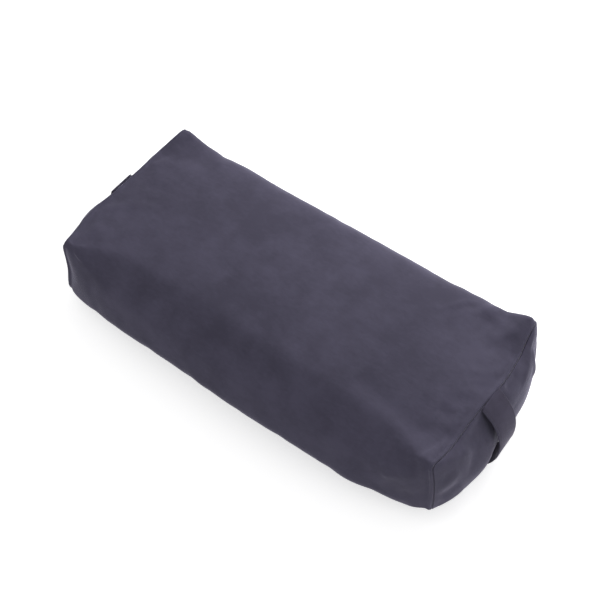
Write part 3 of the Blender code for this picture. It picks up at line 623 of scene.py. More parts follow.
class Grid:
    """Section of the bolster in even cells, round its runs and quarter arcs."""

    # Numbers of the quarter arcs: back's top, front's top, front's foot and back's foot
    arcs = (3, 5, 7, 9)

    def __init__(self, cell):
        quarter = math.pi / 2
        lengths = (
            ZIP_Z - SLOT_HALF_HEIGHT - BACK_FOOT_RADIUS,
            2 * SLOT_HALF_HEIGHT,
            SEAM_HEIGHT - BACK_TOP_RADIUS_MIDDLE - ZIP_Z - SLOT_HALF_HEIGHT,
            quarter * BACK_TOP_RADIUS_MIDDLE,
            SEAM_WIDTH - BACK_TOP_RADIUS_MIDDLE - FRONT_TOP_RADIUS_MIDDLE,
            quarter * FRONT_TOP_RADIUS_MIDDLE,
            SEAM_HEIGHT - FRONT_TOP_RADIUS_MIDDLE - FRONT_FOOT_RADIUS_MIDDLE,
            quarter * FRONT_FOOT_RADIUS_MIDDLE,
            SEAM_WIDTH - FRONT_FOOT_RADIUS_MIDDLE - BACK_FOOT_RADIUS,
            quarter * BACK_FOOT_RADIUS,
        )
        self.counts = [max(2, round(length / cell)) for length in lengths]
        self.slot = (self.counts[0], self.counts[0] + self.counts[1])
        self.total = sum(self.counts)

    def outline(self, half_width, low, high, radii):
        """Closed section of runs and quarter arcs, as y and z from the back foot upwards."""
        back_top, front_top, front, back = radii
        ys, zs = [], []

        def run(count, start, end):
            share = np.arange(count) / count
            ys.append(blend(start[0], end[0], share))
            zs.append(blend(start[1], end[1], share))

        def arc(count, centre, radius, first):
            angle = first + math.pi / 2 * np.arange(count) / count
            ys.append(centre[0] + radius * np.cos(angle))
            zs.append(centre[1] + radius * np.sin(angle))

        counts = self.counts
        slot_low, slot_high = ZIP_Z - SLOT_HALF_HEIGHT, ZIP_Z + SLOT_HALF_HEIGHT
        run(counts[0], (half_width, low + back), (half_width, slot_low))
        run(counts[1], (half_width, slot_low), (half_width, slot_high))
        run(counts[2], (half_width, slot_high), (half_width, high - back_top))
        arc(counts[3], (half_width - back_top, high - back_top), back_top, 0)
        run(counts[4], (half_width - back_top, high), (-half_width + front_top, high))
        arc(counts[5], (-half_width + front_top, high - front_top), front_top, math.pi / 2)
        run(counts[6], (-half_width, high - front_top), (-half_width, low + front))
        arc(counts[7], (-half_width + front, low + front), front, math.pi)
        run(counts[8], (-half_width + front, low), (half_width - back, low))
        arc(counts[9], (half_width - back, low + back), back, -math.pi / 2)
        return np.concatenate(ys), np.concatenate(zs)

    def ring(self, station, inset=0.0, back_room=0.0):
        """Section of the stuffed bolster at a station from -1 to 1, moved in by inset."""
        side = math.copysign(1, station)
        from_seam = seam_distance(station)
        radii = (
            blend(TOP_RADIUS_END, BACK_TOP_RADIUS_MIDDLE, ease(from_seam / BACK_EDGE_BLEND)),
            blend(TOP_RADIUS_END, FRONT_TOP_RADIUS_MIDDLE, ease(from_seam / FRONT_EDGE_BLEND)),
            blend(FRONT_FOOT_RADIUS_END, FRONT_FOOT_RADIUS_MIDDLE, ease(from_seam / FRONT_FOOT_BLEND)),
            BACK_FOOT_RADIUS,
        )
        half_width = SEAM_WIDTH / 2
        y, z = self.outline(half_width, 0.0, SEAM_HEIGHT, radii)
        inner_radii = [max(radius - inset, SMALLEST_RADIUS) for radius in radii]
        layer_y, layer_z = self.outline(
            half_width - inset - back_room / 2, inset, SEAM_HEIGHT - inset, inner_radii
        )
        across = y / half_width
        level = z / SEAM_HEIGHT
        swell = 1 - abs(station) ** 3
        near_seam = math.exp(-((from_seam / CORNER_REACH) ** 2))
        front = -FRONT_BELLY * (1 - FRONT_BELLY_FALL * (level - FRONT_BELLY_LEVEL) ** 2)
        back = BACK_BELLY * ease((level * SEAM_HEIGHT - BACK_BELLY_START) / BACK_BELLY_RISE)
        belly = np.where(y < 0, front, back) * np.abs(across) ** 3 * swell
        ear = near_seam * past(np.abs(across), EAR_START, EAR_RISE) * past(level, 0.5, 0.5)
        lift = near_seam * past(np.abs(across), FOOT_LIFT_START, FOOT_LIFT_RISE)
        lift = lift * (1 - ease(level / FOOT_LIFT_LEVEL))
        bow = SEAM_BOW_ACROSS * across**2 + SEAM_BOW_UPRIGHT * (2 * level - 1) ** 2
        crown = TOP_CROWN * swell * (1 - across**2) * ease(level)
        x = station * SEAM_LENGTH / 2 + side * abs(station) ** 6 * (SEAM_LEAN * (level - 0.5) - bow)
        y_place = layer_y - back_room / 2 + belly + np.copysign(EAR_OUT * ear, y) + SHIFT
        return give(np.stack([x, y_place, layer_z + crown + EAR_UP * ear + FOOT_LIFT * lift], axis=1))

    def station_of(self, x, column):
        """Station at which a column of the section passes the plane at x."""
        station = x / (SEAM_LENGTH / 2)
        for _ in range(8):
            station += (x - self.ring(station)[column][0]) / (SEAM_LENGTH / 2)
        return station


def seam_distance(station):
    """Distance of a station from the nearer end seam."""
    return (1 - abs(station)) * SEAM_LENGTH / 2


def station_at(from_seam):
    """Station at a distance from the near end seam."""
    return 1 - 2 * from_seam / SEAM_LENGTH


def spread(start, end, cell):
    """Even places from start to end, both included, about a cell apart."""
    return list(np.linspace(start, end, max(2, round(abs(end - start) / cell)) + 1))


def steps_round(rows):
    """Length of each step round a grid of rings."""
    return np.linalg.norm(np.roll(rows, -1, 1) - rows, axis=2)


def wrap_uv(rows):
    """Places on the flat cloth of a wrap, round it and along it."""
    return np.stack([np.cumsum(steps_round(rows), axis=1), rows[..., 0]], axis=-1)


def put_in_scene(name, data):
    """Object for a mesh, lamp or camera, in the scene's collection."""
    obj = bpy.data.objects.new(name, data)
    bpy.context.scene.collection.objects.link(obj)
    return obj


def grid_object(name, grid, cyclic=True, holes=None, uv=None):
    """Object with a quad face for each cell of a grid of points, less the holes."""
    rows, columns = grid.shape[:2]
    index = np.arange(rows * columns).reshape(rows, columns)
    after = np.roll(index, -1, axis=1)
    faces = np.stack([index[:-1], after[:-1], after[1:], index[1:]], axis=-1)
    if not cyclic:
        faces = faces[:, :-1]
    keep = np.ones(faces.shape[:2], bool)
    if holes is not None:
        keep &= ~holes
    mesh = bpy.data.meshes.new(name)
    mesh.from_pydata(grid.reshape(-1, 3).tolist(), [], faces[keep].tolist())
    if uv is not None:
        layer = mesh.uv_layers.new(name="cloth")
        loops = np.zeros(len(mesh.loops), np.int32)
        mesh.loops.foreach_get("vertex_index", loops)
        layer.data.foreach_set("uv", uv.reshape(-1, 2)[loops].astype(np.float32).ravel())
    return finish_object(name, mesh)


def finish_object(name, mesh):
    """Smooth object with its faces turned out, in the scene's collection."""
    bm = bmesh.new()
    bm.from_mesh(mesh)
    loose = [vertex for vertex in bm.verts if not vertex.link_faces]
    bmesh.ops.delete(bm, geom=loose, context="VERTS")
    bmesh.ops.recalc_face_normals(bm, faces=bm.faces)
    bm.to_mesh(mesh)
    bm.free()
    mesh.shade_smooth()
    return put_in_scene(name, mesh)


def normals_of(grid, cyclic=True):
    """Unit normals of a grid of points, pointing away from its middle."""
    along = np.gradient(grid, axis=0)
    if cyclic:
        around = np.roll(grid, -1, axis=1) - np.roll(grid, 1, axis=1)
    else:
        around = np.gradient(grid, axis=1)
    normal = np.cross(along, around)
    normal /= np.maximum(np.linalg.norm(normal, axis=2, keepdims=True), 1e-12)
    outward = grid - np.array([0.0, 0.0, SEAM_HEIGHT / 2])
    if (normal * outward).sum() < 0:
        normal = -normal
    return normal


def soft_noise(points, scale, seed):
    """Smooth noise from about -1 to 1 at each point."""
    flat = points.reshape(-1, 3) / scale + seed
    values = [noise.noise(Vector(point)) for point in flat]
    return np.array(values).reshape(points.shape[:-1])


def smooth_grid(values, rounds, cyclic=True):
    """Average each value with its neighbours in the grid, several times over."""
    for _ in range(rounds):
        padded = np.concatenate([values[:1], values, values[-1:]])
        values = (padded[:-2] + 2 * padded[1:-1] + padded[2:]) / 4
        if cyclic:
            values = (np.roll(values, 1, axis=1) + 2 * values + np.roll(values, -1, axis=1)) / 4
        else:
            padded = np.concatenate([values[:, :1], values, values[:, -1:]], axis=1)
            values = (padded[:, :-2] + 2 * padded[:, 1:-1] + padded[:, 2:]) / 4
    return values


def settle(grid, hold, settings, cyclic=True, holes=None):
    """Folds that form when slightly spare cloth settles round the stuffing.

    Runs a cloth simulation on the grid, where hold is how firmly each point is held. Returns
    how far each point moved, less the broad swelling and what a whole line along the wrap
    moved, within the fold depth.
    """
    if settings.growth == 0:
        return np.zeros_like(grid)
    ripple = START_RIPPLE * soft_noise(grid, START_RIPPLE_SIZE, seed=3.0)
    start = grid + normals_of(grid, cyclic) * ripple[..., None]
    obj = grid_object("settling_cloth", start, cyclic, holes)
    mesh = obj.data
    size = len(mesh.vertices)
    placed = np.zeros(size * 3)
    mesh.vertices.foreach_get("co", placed)
    group = obj.vertex_groups.new(name="held")
    kept = kept_points(grid, holes, cyclic)
    firm = hold.ravel()[kept]
    for number in range(size):
        group.add([number], float(firm[number]), "REPLACE")
    cloth = obj.modifiers.new("settling", "CLOTH")
    cloth.settings.quality = 5
    cloth.settings.mass = 0.25
    cloth.settings.tension_stiffness = 20
    cloth.settings.compression_stiffness = 20
    cloth.settings.shear_stiffness = 8
    cloth.settings.bending_stiffness = 1.2
    cloth.settings.air_damping = 2
    cloth.settings.vertex_group_mass = group.name
    cloth.settings.pin_stiffness = 4
    cloth.settings.shrink_min = -settings.growth
    cloth.settings.use_pressure = True
    cloth.settings.uniform_pressure_force = settings.pressure
    cloth.settings.effector_weights.gravity = 0
    cloth.collision_settings.use_collision = False
    cloth.point_cache.frame_start = 1
    cloth.point_cache.frame_end = SETTLING_FRAMES
    for number in range(1, SETTLING_FRAMES + 1):
        bpy.context.scene.frame_set(number)
    graph = bpy.context.evaluated_depsgraph_get()
    settled = np.zeros(size * 3)
    obj.evaluated_get(graph).data.vertices.foreach_get("co", settled)
    bpy.context.scene.frame_set(1)
    bpy.data.objects.remove(obj)
    moved = np.zeros((grid.shape[0] * grid.shape[1], 3))
    moved[kept] = (settled - placed).reshape(-1, 3)
    moved = moved.reshape(grid.shape)
    folds = moved - smooth_grid(moved, SWELLING_ROUNDS, cyclic)
    if cyclic:
        folds -= folds.mean(axis=0)
    folds = smooth_grid(folds, SOFTENING_ROUNDS, cyclic)
    reach = np.linalg.norm(folds, axis=2, keepdims=True)
    depth = settings.fold_depth
    return folds * (depth * np.tanh(reach / depth) / np.maximum(reach, 1e-9))


def kept_off_liner(points, even, normals):
    """Points moved in no further from the even section than the liner under them allows."""
    depth = ((points - even) * normals).sum(axis=-1)
    limited = np.where(depth < 0, INWARD_LIMIT * np.tanh(depth / INWARD_LIMIT), depth)
    return points + normals * (limited - depth)[..., None]


def kept_points(grid, holes, cyclic):
    """Numbers of the grid's points that have a face."""
    rows, columns = grid.shape[:2]
    used = np.zeros((rows, columns), bool)
    cells = np.ones((rows - 1, columns if cyclic else columns - 1), bool)
    if holes is not None:
        cells &= ~holes
    for down in (0, 1):
        for right in (0, 1):
            part = np.zeros((rows, columns), bool)
            part[down : rows - 1 + down, : cells.shape[1]] = cells
            used |= np.roll(part, right, axis=1)
    return np.flatnonzero(used.ravel())


def stitches(name, lines, settings):
    """Thread stitches along lines of points, each a short rounded link, as one object."""
    bm = bmesh.new()
    for line in lines:
        points = np.array([point for point, _ in line])
        normals = np.array([normal for _, normal in line])
        steps = np.linalg.norm(np.diff(points, axis=0), axis=1)
        travel = np.concatenate([[0], np.cumsum(steps)])
        count = int(travel[-1] / settings.length)
        for i in range(count):
            middle = (i + 0.5) * travel[-1] / count
            half = STITCH_HALF_LINK * settings.length
            ends = [middle - half, middle + half]
            a, b, up = (
                np.array([np.interp(place, travel, column[:, axis]) for axis in range(3)])
                for place, column in ((ends[0], points), (ends[1], points), (middle, normals))
            )
            along = Vector(b - a)
            up = Vector(up).normalized()
            across = along.cross(up).normalized()
            turn = Matrix((along.normalized(), across, up)).transposed().to_4x4()
            size = Matrix.Diagonal((along.length / 2, settings.thread / 2, settings.thread / 2, 1))
            place = Matrix.Translation(Vector((a + b) / 2))
            bmesh.ops.create_uvsphere(
                bm, u_segments=6, v_segments=6, radius=1, matrix=place @ turn @ size
            )
    mesh = bpy.data.meshes.new(name)
    bm.to_mesh(mesh)
    bm.free()
    mesh.shade_smooth()
    return put_in_scene(name, mesh)


def thicken(obj, thickness, levels=1):
    """Give an open cloth its thickness on the inside, then soften its facets."""
    wall = obj.modifiers.new("cloth thickness", "SOLIDIFY")
    wall.thickness = thickness
    wall.offset = -1
    soften = obj.modifiers.new("soft surface", "SUBSURF")
    soften.levels = levels
    soften.render_levels = levels


def wear(obj, material, body="cover", replaced=()):
    """Give a piece its material and slot, ride it on a body and let it stand for its nodes."""
    obj.data.materials.clear()
    obj.data.materials.append(material)
    if body:
        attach(obj, body)
    if replaced:
        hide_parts(*replaced)
    return obj


class Sketch:
    """Adds nodes to a tree, with inputs given as sockets to link or as values."""

    def __init__(self, tree):
        self.tree = tree

    def add(self, kind, inputs=(), **settings):
        made = self.tree.nodes.new(kind)
        for key, value in settings.items():
            setattr(made, key, value)
        for key, value in dict(inputs).items():
            if isinstance(value, bpy.types.NodeSocket):
                self.tree.links.new(value, made.inputs[key])
            else:
                made.inputs[key].default_value = value
        return made

    def math(self, operation, a, b=0.0, c=0.0):
        return self.add("ShaderNodeMath", {0: a, 1: b, 2: c}, operation=operation).outputs[0]

    def mix(self, share, a, b):
        """Colour mix, with a and b as colours."""
        made = self.add("ShaderNodeMix", {0: share, 6: a, 7: b}, data_type="RGBA")
        return made.outputs[2]

    def span(self, value, low, high, to_low, to_high):
        inputs = {"Value": value, 1: low, 2: high, 3: to_low, 4: to_high}
        return self.add("ShaderNodeMapRange", inputs).outputs[0]


def finish_group(name, inputs, draw):
    """Shader node group of a finish, made once. draw(sketch, given) returns its outputs."""
    found = bpy.data.node_groups.get(name)
    if found:
        return found
    tree = bpy.data.node_groups.new(name, "ShaderNodeTree")
    for key, (kind, default) in inputs.items():
        socket = tree.interface.new_socket(key, in_out="INPUT", socket_type=kind)
        if default is not None:
            socket.default_value = default
    for key, kind in FINISH_OUTPUTS.items():
        tree.interface.new_socket(key, in_out="OUTPUT", socket_type=kind)
    given = tree.nodes.new("NodeGroupInput")
    taken = tree.nodes.new("NodeGroupOutput")
    for key, socket in draw(Sketch(tree), given.outputs).items():
        tree.links.new(socket, taken.inputs[key])
    return tree


FLOAT, COLOUR, VECTOR = "NodeSocketFloat", "NodeSocketColor", "NodeSocketVector"
FINISH_OUTPUTS = {"Color": COLOUR, "Roughness": FLOAT, "Height": FLOAT}


def nap_group():
    """Short brushed nap: cloudy light and dark patches, fine fibres and a soft relief."""

    def draw(sketch, given):
        broad = sketch.add(
            "ShaderNodeTexNoise",
            {"Vector": given["Place"], "Scale": given["Patch Scale"], "Detail": 4.0, "Roughness": 0.55},
        )
        streaks = sketch.add("ShaderNodeMapping", {"Vector": given["Place"], "Scale": (1.0, 2.2, 1.6)})
        brushed = sketch.add(
            "ShaderNodeTexNoise",
            {
                "Vector": streaks.outputs[0],
                "Scale": 95.0,
                "Detail": 5.0,
                "Roughness": 0.65,
                "Distortion": 0.6,
            },
        )
        fibres = sketch.add(
            "ShaderNodeTexNoise",
            {"Vector": given["Place"], "Scale": given["Fibre Scale"], "Detail": 3.0, "Roughness": 0.7},
        )
        spots = sketch.add(
            "ShaderNodeTexNoise",
            {"Vector": given["Place"], "Scale": given["Spot Scale"], "Detail": 3.0, "Roughness": 0.6},
        )
        patch = sketch.span(broad.outputs["Fac"], 0.32, 0.68, 0.0, 1.0)
        spot = sketch.span(spots.outputs["Fac"], 0.32, 0.68, -0.5, 0.5)
        brush = sketch.span(brushed.outputs["Fac"], 0.3, 0.7, -0.5, 0.5)
        fibre = sketch.math("SUBTRACT", fibres.outputs["Fac"], 0.5)
        cloud = sketch.math("MULTIPLY_ADD", brush, given["Brushing"], patch)
        cloud = sketch.math("MULTIPLY_ADD", fibre, given["Fibres"], cloud)
        cloud = sketch.math("MULTIPLY_ADD", spot, given["Spots"], cloud)
        share = sketch.add("ShaderNodeClamp", {"Value": cloud}).outputs[0]
        colour = sketch.mix(share, given["Dark"], given["Light"])
        rough = sketch.math("MULTIPLY_ADD", patch, -0.08, 0.92)
        height = sketch.math("MULTIPLY_ADD", brush, 0.35, fibre)
        return {"Color": colour, "Roughness": rough, "Height": height}

    inputs = {
        "Place": (VECTOR, None),
        "Dark": (COLOUR, (0.05, 0.05, 0.06, 1)),
        "Light": (COLOUR, (0.08, 0.08, 0.10, 1)),
        "Patch Scale": (FLOAT, 9.0),
        "Spot Scale": (FLOAT, 34.0),
        "Spots": (FLOAT, 0.5),
        "Brushing": (FLOAT, 0.5),
        "Fibres": (FLOAT, 0.35),
        "Fibre Scale": (FLOAT, 2400.0),
    }
    return finish_group("brushed nap", inputs, draw)


def weave_group():
    """Plain weave: threads that pass over and under each other, with painted shade between them where
    they dip.
    """

    def draw(sketch, given):
        parts = sketch.add("ShaderNodeSeparateXYZ", {"Vector": given["Place"]})
        turns = []
        for axis in ("X", "Y"):
            count = sketch.math("MULTIPLY", parts.outputs[axis], given["Threads"])
            turns.append(sketch.math("MULTIPLY", count, 2 * math.pi))
        warp = sketch.math("SINE", turns[0])
        weft = sketch.math("SINE", turns[1])
        over = sketch.math("MULTIPLY", warp, weft)
        height = sketch.math("MULTIPLY_ADD", over, 0.5, 0.5)
        slub = sketch.add(
            "ShaderNodeTexNoise", {"Vector": given["Place"], "Scale": 60.0, "Detail": 3.0}
        )
        slubs = sketch.math("MULTIPLY", slub.outputs["Fac"], 0.5)
        # Painted shade: the colour darkens where a thread dips under the other, following the relief's
        # height
        shade = sketch.math("MULTIPLY_ADD", height, 0.6, slubs)
        share = sketch.add("ShaderNodeClamp", {"Value": shade}).outputs[0]
        colour = sketch.mix(share, given["Dark"], given["Light"])
        rough = sketch.math("MULTIPLY_ADD", height, -0.06, 0.86)
        return {"Color": colour, "Roughness": rough, "Height": height}

    inputs = {
        "Place": (VECTOR, None),
        "Dark": (COLOUR, (0.05, 0.05, 0.06, 1)),
        "Light": (COLOUR, (0.08, 0.08, 0.10, 1)),
        "Threads": (FLOAT, 1200.0),
    }
    return finish_group("plain weave", inputs, draw)


def wear_and_edge_highlight_group():
    """Handling wear and painted highlight: fine grain, scattered scuffs, and paler convex edges that
    are partly edge wear and partly a painted highlight.
    """

    def draw(sketch, given):
        geometry = sketch.add("ShaderNodeNewGeometry")
        # Paler convex edges from Pointiness: partly edge wear, partly a painted highlight along the
        # edges
        edge = sketch.span(geometry.outputs["Pointiness"], 0.52, 0.62, 0.0, 1.0)
        scuffs = sketch.add(
            "ShaderNodeTexNoise",
            {"Vector": given["Place"], "Scale": 420.0, "Detail": 6.0, "Roughness": 0.7},
        )
        grain = sketch.add(
            "ShaderNodeTexNoise", {"Vector": given["Place"], "Scale": 3200.0, "Detail": 2.0}
        )
        patch = sketch.span(scuffs.outputs["Fac"], 0.52, 0.75, 0.0, 1.0)
        share = sketch.math("MULTIPLY", sketch.math("MAXIMUM", edge, patch), given["Amount"])
        colour = sketch.mix(share, given["Base"], given["Worn And Highlit"])
        rough = sketch.math("MULTIPLY_ADD", share, 0.25, given["Roughness"])
        return {"Color": colour, "Roughness": rough, "Height": grain.outputs["Fac"]}

    inputs = {
        "Place": (VECTOR, None),
        "Base": (COLOUR, (0.05, 0.05, 0.06, 1)),
        "Worn And Highlit": (COLOUR, (0.12, 0.12, 0.13, 1)),
        "Amount": (FLOAT, 0.5),
        "Roughness": (FLOAT, 0.4),
    }
    return finish_group("handling wear and edge highlight", inputs, draw)


def tone(colour, factor):
    """Lighter or darker tone of a colour, with its alpha."""
    return (*(min(1.0, channel * factor) for channel in colour), 1.0)


def shaded(name, group, values, bump, shader_values, coordinates="Object"):
    """Material whose colour, roughness and relief come from a group, made once."""
    found = bpy.data.materials.get(name)
    if found:
        return found
    made = bpy.data.materials.new(name)
    made.use_nodes = True
    sketch = Sketch(made.node_tree)
    shader = made.node_tree.nodes["Principled BSDF"]
    for key, value in shader_values.items():
        shader.inputs[key].default_value = value
    place = sketch.add("ShaderNodeTexCoord").outputs[coordinates]
    detail = sketch.add("ShaderNodeGroup", node_tree=group)
    made.node_tree.links.new(place, detail.inputs["Place"])
    for key, value in values.items():
        detail.inputs[key].default_value = value
    strength, distance = bump
    relief = sketch.add(
        "ShaderNodeBump",
        {"Height": detail.outputs["Height"], "Strength": strength, "Distance": distance},
    )
    made.node_tree.links.new(detail.outputs["Color"], shader.inputs["Base Color"])
    made.node_tree.links.new(detail.outputs["Roughness"], shader.inputs["Roughness"])
    made.node_tree.links.new(relief.outputs["Normal"], shader.inputs["Normal"])
    made.diffuse_color = (*values.get("Light", values.get("Base"))[:3], 1)
    return made


def cover_material():
    base = bpy.context.scene.bolster_finish.cover
    values = {"Dark": tone(base, 0.86), "Light": tone(base, 1.16), "Patch Scale": 8.0}
    sheen = {
        "Specular IOR Level": 0.2,
        "Sheen Weight": 0.5,
        "Sheen Roughness": 0.3,
        "Sheen Tint": (0.84, 0.81, 1.0, 1),
    }
    return shaded("suede cover cloth", nap_group(), values, (0.35, 0.0004), sheen)


def handle_material():
    base = bpy.context.scene.bolster_finish.handle
    values = {"Dark": tone(base, 0.88), "Light": tone(base, 1.14), "Patch Scale": 30.0, "Fibres": 0.5}
    sheen = {
        "Specular IOR Level": 0.2,
        "Sheen Weight": 0.35,
        "Sheen Roughness": 0.3,
        "Sheen Tint": (0.84, 0.80, 0.98, 1),
    }
    return shaded("suede handle strip", nap_group(), values, (0.4, 0.0003), sheen)


def thread_material():
    base = bpy.context.scene.bolster_finish.thread
    values = {"Dark": tone(base, 0.8), "Light": tone(base, 1.3), "Threads": 2600.0}
    return shaded("sewing thread", weave_group(), values, (0.3, 0.0001), {"Sheen Weight": 0.2})


def tape_material(name="woven zip tape"):
    base = bpy.context.scene.bolster_finish.tape
    values = {"Dark": tone(base, 0.7), "Light": tone(base, 1.3), "Threads": 900.0}
    return shaded(name, weave_group(), values, (0.6, 0.0003), {"Sheen Weight": 0.15}, "UV")


def teeth_material():
    base = bpy.context.scene.bolster_finish.teeth
    # The worn colour also paints a highlight along the teeth's convex edges
    values = {"Base": tone(base, 1.0), "Worn And Highlit": tone(base, 1.8), "Amount": 0.4, "Roughness": 0.38}
    return shaded("moulded zip teeth", wear_and_edge_highlight_group(), values, (0.1, 0.0001), {"IOR": 1.5})


def metal_material():
    base = bpy.context.scene.bolster_finish.metal
    # The worn colour also paints a highlight along the metal's convex edges
    values = {"Base": tone(base, 1.0), "Worn And Highlit": (0.34, 0.34, 0.36, 1), "Amount": 0.5, "Roughness": 0.30}
    lacquer = {"Metallic": 0.85, "Coat Weight": 0.3, "Coat Roughness": 0.2}
    return shaded("lacquered zip metal", wear_and_edge_highlight_group(), values, (0.05, 0.0001), lacquer)


def liner_material():
    base = bpy.context.scene.bolster_finish.liner
    values = {"Dark": tone(base, 0.85), "Light": tone(base, 1.08), "Threads": 1100.0}
    return shaded("cotton liner cloth", weave_group(), values, (0.4, 0.0003), {}, "UV")


def wadding_material():
    base = bpy.context.scene.bolster_finish.wadding
    values = {
        "Dark": tone(base, 0.86),
        "Light": tone(base, 1.08),
        "Patch Scale": 25.0,
        "Brushing": 0.9,
        "Fibre Scale": 900.0,
    }
    return shaded("fibre wadding", nap_group(), values, (0.8, 0.0012), {"Sheen Weight": 0.3})


def foam_material():
    base = bpy.context.scene.bolster_finish.foam
    values = {
        "Dark": tone(base, 0.82),
        "Light": tone(base, 1.1),
        "Patch Scale": 12.0,
        "Fibres": 1.2,
        "Fibre Scale": 1400.0,
    }
    return shaded("open foam", nap_group(), values, (0.7, 0.0008), {})


def cover_rows(grid, settings):
    """Rows of the cover's wrap from end to end, as pairs of station and inset.

    At each end the cloth rounds over and turns into the seam.
    """
    radius = settings.seam_round
    turned = [(ALLOWANCE_PLACE, radius + reach) for reach in ALLOWANCE_REACH]
    for i in range(ROUND_FACETS + 1):
        angle = math.pi / 2 * i / ROUND_FACETS
        place = ROUND_START + radius * (1 - math.cos(angle))
        turned.append((place, radius * (1 - math.sin(angle))))
    near = ROUND_START + radius
    approach = [near + further for further in APPROACH]
    column = (grid.slot[0] + grid.slot[1]) // 2
    slot_low = grid.station_of(SLOT_LOW, column)
    slot_high = grid.station_of(SLOT_HIGH, column)
    step = 2 * settings.cell / SEAM_LENGTH
    last = station_at(near + APPROACH_END)
    middle = spread(-last, slot_low, step)
    middle += spread(slot_low, slot_high, step)[1:]
    middle += spread(slot_high, last, step)[1:]
    rows = [(-station_at(place), inset) for place, inset in turned]
    rows += [(-station_at(place), 0.0) for place in approach]
    rows += [(station, 0.0) for station in middle]
    rows += [(station_at(place), 0.0) for place in reversed(approach)]
    rows += [(station_at(place), inset) for place, inset in reversed(turned)]
    return rows, (slot_low, slot_high)


class BOLSTER_OT_cover_wrap(bpy.types.Operator):
    """Sew the wrap of the cover's long sides, top and bottom, with its zip opening"""

    bl_idname = "bolster.cover_wrap"
    bl_label = "Cover Wrap"

    def execute(self, context):
        settings = context.scene.bolster_cover
        grid = Grid(settings.cell)
        rows, (slot_low, slot_high) = cover_rows(grid, settings)
        stations = np.array([station for station, _ in rows])
        insets = np.array([inset for _, inset in rows])
        points = np.array([grid.ring(station, inset) for station, inset in rows])
        middles = (stations[1:] + stations[:-1]) / 2
        holes = np.zeros((len(rows) - 1, grid.total), bool)
        in_slot = (middles > slot_low) & (middles < slot_high)
        holes[np.ix_(in_slot, range(*grid.slot))] = True

        on_face = insets[:, None] == 0
        from_seam = seam_distance(stations)[:, None] * np.ones(grid.total)
        outside = np.maximum.reduce(
            [
                np.abs(points[..., 2] - ZIP_Z) - SLOT_HALF_HEIGHT,
                SLOT_LOW - points[..., 0],
                points[..., 0] - SLOT_HIGH,
            ]
        )
        at_back = points[..., 1] > BACK_FACE - SLOT_DEPTH
        from_slot = np.where(at_back, np.maximum(outside, 0.0), 1.0)
        slot_hold = 1 - past(from_slot, SLOT_HOLD_START, SLOT_HOLD_FADE)
        hold = np.maximum(1 - ease(from_seam / SEAM_HOLD), slot_hold)
        hold = np.maximum(hold, FLOOR_HOLD * (points[..., 2] < FLOOR_TOUCH))
        folds = settle(points, hold, settings, holes=holes)

        normals = normals_of(points)
        calm = blend(1.0, MIDDLE_FOLDS, ease(from_seam / FOLDED_ZONE))
        free = (np.clip(1 - hold, 0.0, 1.0) * calm)[..., None]
        even = points
        points = points + folds * free
        beside = mound(from_seam, settings.pucker * GATHER_RISE, GATHER_PLACE, GATHER_WIDTH)
        gathers = soft_noise(points * GATHER_STRETCH, GATHER_SIZE, seed=7.0)
        gathers = np.clip(gathers, GATHER_LOW, GATHER_HIGH)
        points += normals * (beside * on_face * gathers)[..., None]
        roll = mound(from_seam, *SEAM_ROLL)
        hollow = mound(from_seam, *SEAM_HOLLOW)
        placket = PLACKET_RISE * (1 - past(from_slot, PLACKET_WIDTH, PLACKET_EDGE))
        laid = fold_heights(points) * ease(from_seam / FOLDS_FROM_SEAM)
        points += normals * ((roll - hollow + laid) * on_face + placket)[..., None]
        points = kept_off_liner(points, even, normals)
        points[..., 2] = np.maximum(points[..., 2], 0.0)

        cloth = grid_object("cover_wrap_cloth", points, holes=holes, uv=wrap_uv(points))
        thicken(cloth, settings.cloth)
        wear(cloth, cover_material(), replaced=["cover_wrap"])
        return {"FINISHED"}


def rim_loop(grid, side, inset, counts):
    """Rim of an end panel as four sides of even points: top, front, bottom and back."""
    ring = grid.ring(float(side), inset)
    starts = np.concatenate([[0], np.cumsum(grid.counts)])
    corners = [starts[arc] + grid.counts[arc] // 2 for arc in grid.arcs]
    sides = []
    for first, last, count in zip(corners, corners[1:] + corners[:1], counts):
        run = np.arange(first, last + 1 if last > first else last + 1 + grid.total) % grid.total
        stretch = ring[run]
        travel = np.concatenate([[0], np.cumsum(np.linalg.norm(np.diff(stretch, axis=0), axis=1))])
        places = np.linspace(0, travel[-1], count + 1)
        sides.append(np.stack([np.interp(places, travel, stretch[:, i]) for i in range(3)], axis=1))
    return sides


def end_swell(side, share, y):
    """How far an end panel stands out, less the handle's hollow.

    share is 0 in the panel's middle and 1 at its rim.
    """
    swell = END_CROWN[side] * (1 - share ** END_CROWN_POWER[side])
    hollow = mound(y, HANDLE_HOLLOW, SHIFT, HANDLE_HOLLOW_WIDTH) * (1 - share**4)
    return swell - hollow


def dome_x(grid, side, y, z):
    """X of an end panel's dome at each y and z, and how near the rim each point is."""
    rim = grid.ring(float(side))
    middle = np.array([rim[:, 0].mean(), SHIFT, SEAM_HEIGHT / 2])
    angle = np.arctan2(rim[:, 2] - middle[2], rim[:, 1] - middle[1])
    reach = np.hypot(rim[:, 2] - middle[2], rim[:, 1] - middle[1])
    order = np.argsort(angle)
    here = np.arctan2(z - middle[2], y - middle[1])
    rim_reach = np.interp(here, angle[order], reach[order], period=2 * math.pi)
    rim_x = np.interp(here, angle[order], rim[order, 0], period=2 * math.pi)
    share = np.hypot(z - middle[2], y - middle[1]) / rim_reach
    return middle[0] + (rim_x - middle[0]) * share + side * end_swell(side, share, y), share


